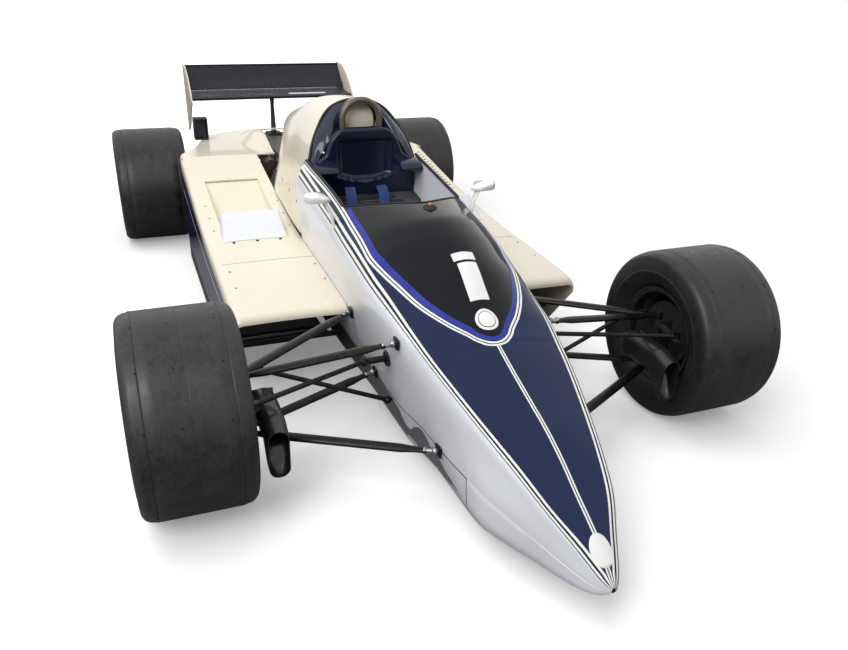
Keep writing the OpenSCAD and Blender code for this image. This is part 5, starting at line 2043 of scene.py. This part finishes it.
@dataclass
class PowerUnit:
    """Engine, gearbox and exhaust dress, in metres in the frame unless said."""

    rib_x: float = 0.1
    rib_pitch: float = 0.12
    starter_z: float = 0.37
    starter_bolts: float = 0.04
    cam_pitch: float = 0.08
    pipe: tuple = (222, 528)
    band_reach: float = 150.0

    def build(self) -> None:
        """Dresses the drive line and adds ribs, bolts, cam covers and pipe bands."""
        dress(Paint.CAST, "engine", "gearbox")
        dress(Paint.PIPE, "exhaust")
        dress(Paint.SHEET, "monocoque")
        dress(Paint.PANEL, "underfloor", "skirts", "dashboard")
        dress(Paint.CORE, "radiators")
        low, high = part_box("gearbox")
        ribs, bolts = [], []
        for y in range(5):
            at = low.y + 0.07 + y * self.rib_pitch
            ribs.append(block("rib", (self.rib_x, at, 0.2),
                              (self.rib_x + 0.006, at + 0.012, 0.48), 0.002))
            for z in (0.22, 0.34, 0.46):
                bolts.append(puck((0.104, at + 0.05, z), 0.007, 0.01, (1, 0, 0), 6))
        tail = high.y
        for a in range(0, 360, 60):
            a = math.radians(a + 30)
            bolts.append(puck((self.starter_bolts * math.cos(a), tail,
                               self.starter_z + self.starter_bolts * math.sin(a)),
                              0.005, 0.007, (0, 1, 0), 6))
        engine_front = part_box("engine")[0].y
        for i in range(6):
            at = engine_front + 0.06 + i * self.cam_pitch
            ribs.append(block("cam", (0.152, at, 0.476), (0.206, at + 0.05, 0.489), 0.004))
        piece(mirrored(join("casting_ribs", ribs)), [Paint.CAST], slot=Slot.METAL)
        piece(mirrored(join("casting_bolts", bolts)), [Paint.STEEL], slot=Slot.METAL)
        x, z = self.pipe
        pipes = [ring("band", 0.0282, 0.031, 0.008, car(x, WHEELBASE + y, z), (0, 1, 0))
                 for y in (-self.band_reach, self.band_reach)]
        piece(mirrored(join("exhaust_bands", pipes)), [Paint.STEEL], slot=Slot.METAL)


# ------------------------------------------------------------------ set


@dataclass
class Studio:
    """Pale floor, even soft light and the camera."""

    place: tuple = (-0.965, -3.269, 1.446)
    yaw: float = -0.3733
    pitch: float = -0.4543
    roll: float = 0.0237
    lens: float = 31.667
    shift: tuple = (0.0114, 0.0248)
    surround: float = 0.42
    key_watts: float = 275.0
    fill_watts: float = 200.0
    floor_tone: float = 0.25
    floor_glow: float = 0.22
    glow_from: float = 2.6
    glow_to: float = 6.0

    def camera(self) -> None:
        """Creates the camera and makes it the scene's."""
        data = bpy.data.cameras.new("view")
        camera = bpy.data.objects.new("view", data)
        bpy.context.scene.collection.objects.link(camera)
        ahead = Vector((-math.sin(self.yaw) * math.cos(self.pitch),
                        math.cos(self.yaw) * math.cos(self.pitch), math.sin(self.pitch)))
        right = Vector((math.cos(self.yaw), math.sin(self.yaw), 0))
        up = right.cross(ahead)
        c, s = math.cos(self.roll), math.sin(self.roll)
        x, y = right * c + up * s, up * c - right * s
        turn = Matrix((x, y, -ahead)).transposed().to_4x4()
        camera.matrix_world = Matrix.Translation(self.place) @ turn
        data.lens, data.sensor_width = self.lens, 36.0
        data.shift_x, data.shift_y = self.shift
        data.clip_end = 200.0
        bpy.context.scene.camera = camera

    def world(self) -> None:
        """Makes an even surround, white to the camera and in mirrors, dimmer as light."""
        world = bpy.data.worlds.new("surround")
        bpy.context.scene.world = world
        world.use_nodes = True
        tree = world.node_tree
        path = add(tree, "ShaderNodeLightPath")
        seen = path.outputs["Is Camera Ray"]
        for ray in ("Is Transmission Ray", "Is Glossy Ray"):
            seen = combine(tree, "MAXIMUM", seen, path.outputs[ray])
        background = tree.nodes["Background"]
        background.inputs["Color"].default_value = (1, 1, 1, 1)
        tree.links.new(remap(tree, seen, (self.surround, 1.0)), background.inputs["Strength"])

    def lamp(self, name: str, place: Point, aim: Point, size: float, power: float,
             mirrored_in_paint: bool = True) -> None:
        """Adds one soft area lamp.

        Args:
            name: The lamp's name.
            place: Where it stands.
            aim: What it points at.
            size: Its width.
            power: Its power in watts.
            mirrored_in_paint: Whether glossy faces show it.
        """
        data = bpy.data.lights.new(name, "AREA")
        data.shape, data.size, data.energy = "DISK", size, power
        lamp = bpy.data.objects.new(name, data)
        bpy.context.scene.collection.objects.link(lamp)
        lamp.location = place
        lamp.visible_glossy = mirrored_in_paint
        lamp.rotation_mode = "QUATERNION"
        lamp.rotation_quaternion = (Vector(aim) - Vector(place)).to_track_quat("-Z", "Y")

    def floor(self) -> None:
        """Lays the pale floor, which keeps the car's shadow."""
        deselect()
        bpy.ops.mesh.primitive_plane_add(size=160)
        floor = bpy.context.active_object
        floor.name = "studio_floor"
        material = bpy.data.materials.new("white_floor")
        material.use_nodes = True
        tree = material.node_tree
        shader = tree.nodes["Principled BSDF"]
        place = add(tree, "ShaderNodeTexCoord").outputs["Object"]
        clouds = add(tree, "ShaderNodeTexNoise", {"Scale": 0.8}, Vector=place)
        ramp = add(tree, "ShaderNodeValToRGB", {"stops": [(0, "#f3f3f3"), (1, "#f6f6f6")]},
                   Fac=clouds.outputs["Fac"])
        path = add(tree, "ShaderNodeLightPath")
        seen = path.outputs["Is Camera Ray"]
        dimmed = add(tree, "ShaderNodeVectorMath", {"operation": "MULTIPLY"},
                     _0=ramp.outputs["Color"], _1=remap(tree, seen, (self.floor_tone, 1.0)))
        tree.links.new(dimmed.outputs["Vector"], shader.inputs["Base Color"])
        shader.inputs["Roughness"].default_value = 0.9
        shader.inputs["Emission Color"].default_value = (1, 1, 1, 1)
        away = add(tree, "ShaderNodeVectorMath", {"operation": "LENGTH"}, _0=place)
        far = remap(tree, away.outputs["Value"], (self.floor_glow, 1.0),
                    (self.glow_from, self.glow_to))
        tree.links.new(combine(tree, "MULTIPLY", seen, far), shader.inputs["Emission Strength"])
        floor.data.materials.append(material)

    def build(self) -> None:
        """Sets the view transform, camera, lights and floor."""
        bpy.context.scene.view_settings.view_transform = "Standard"
        self.camera()
        self.world()
        self.lamp("key", (-1.5, 0.5, 6.5), (0, 0, 0), 7.0, self.key_watts, False)
        self.lamp("fill", (-4.0, -4.0, 4.5), (0, -0.5, 0.3), 4.0, self.fill_watts)
        self.floor()


def main() -> None:
    """Builds the car's looks in order."""
    logging.basicConfig(level=logging.INFO, format="%(message)s")
    hull = Hull()
    hull.build()
    hull.build_screen()
    hull.decals()
    hull.trim()
    Pods(hull).build()
    EngineCover().build()
    Cockpit(hull.edge, hull.edge_z, hull.wide(615) * MM - 0.004, hull.high(615) * MM).build()
    for place, rim_half in (("front_left", 140.0), ("front_right", 140.0), ("rear_left", 175.0),
                            ("rear_right", 175.0)):
        Wheel(place, rim_half).build()
    Suspension(hull).build()
    RearWing().build()
    PowerUnit().build()
    Studio().build()
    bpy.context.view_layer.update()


if __name__ == "__main__":
    main()
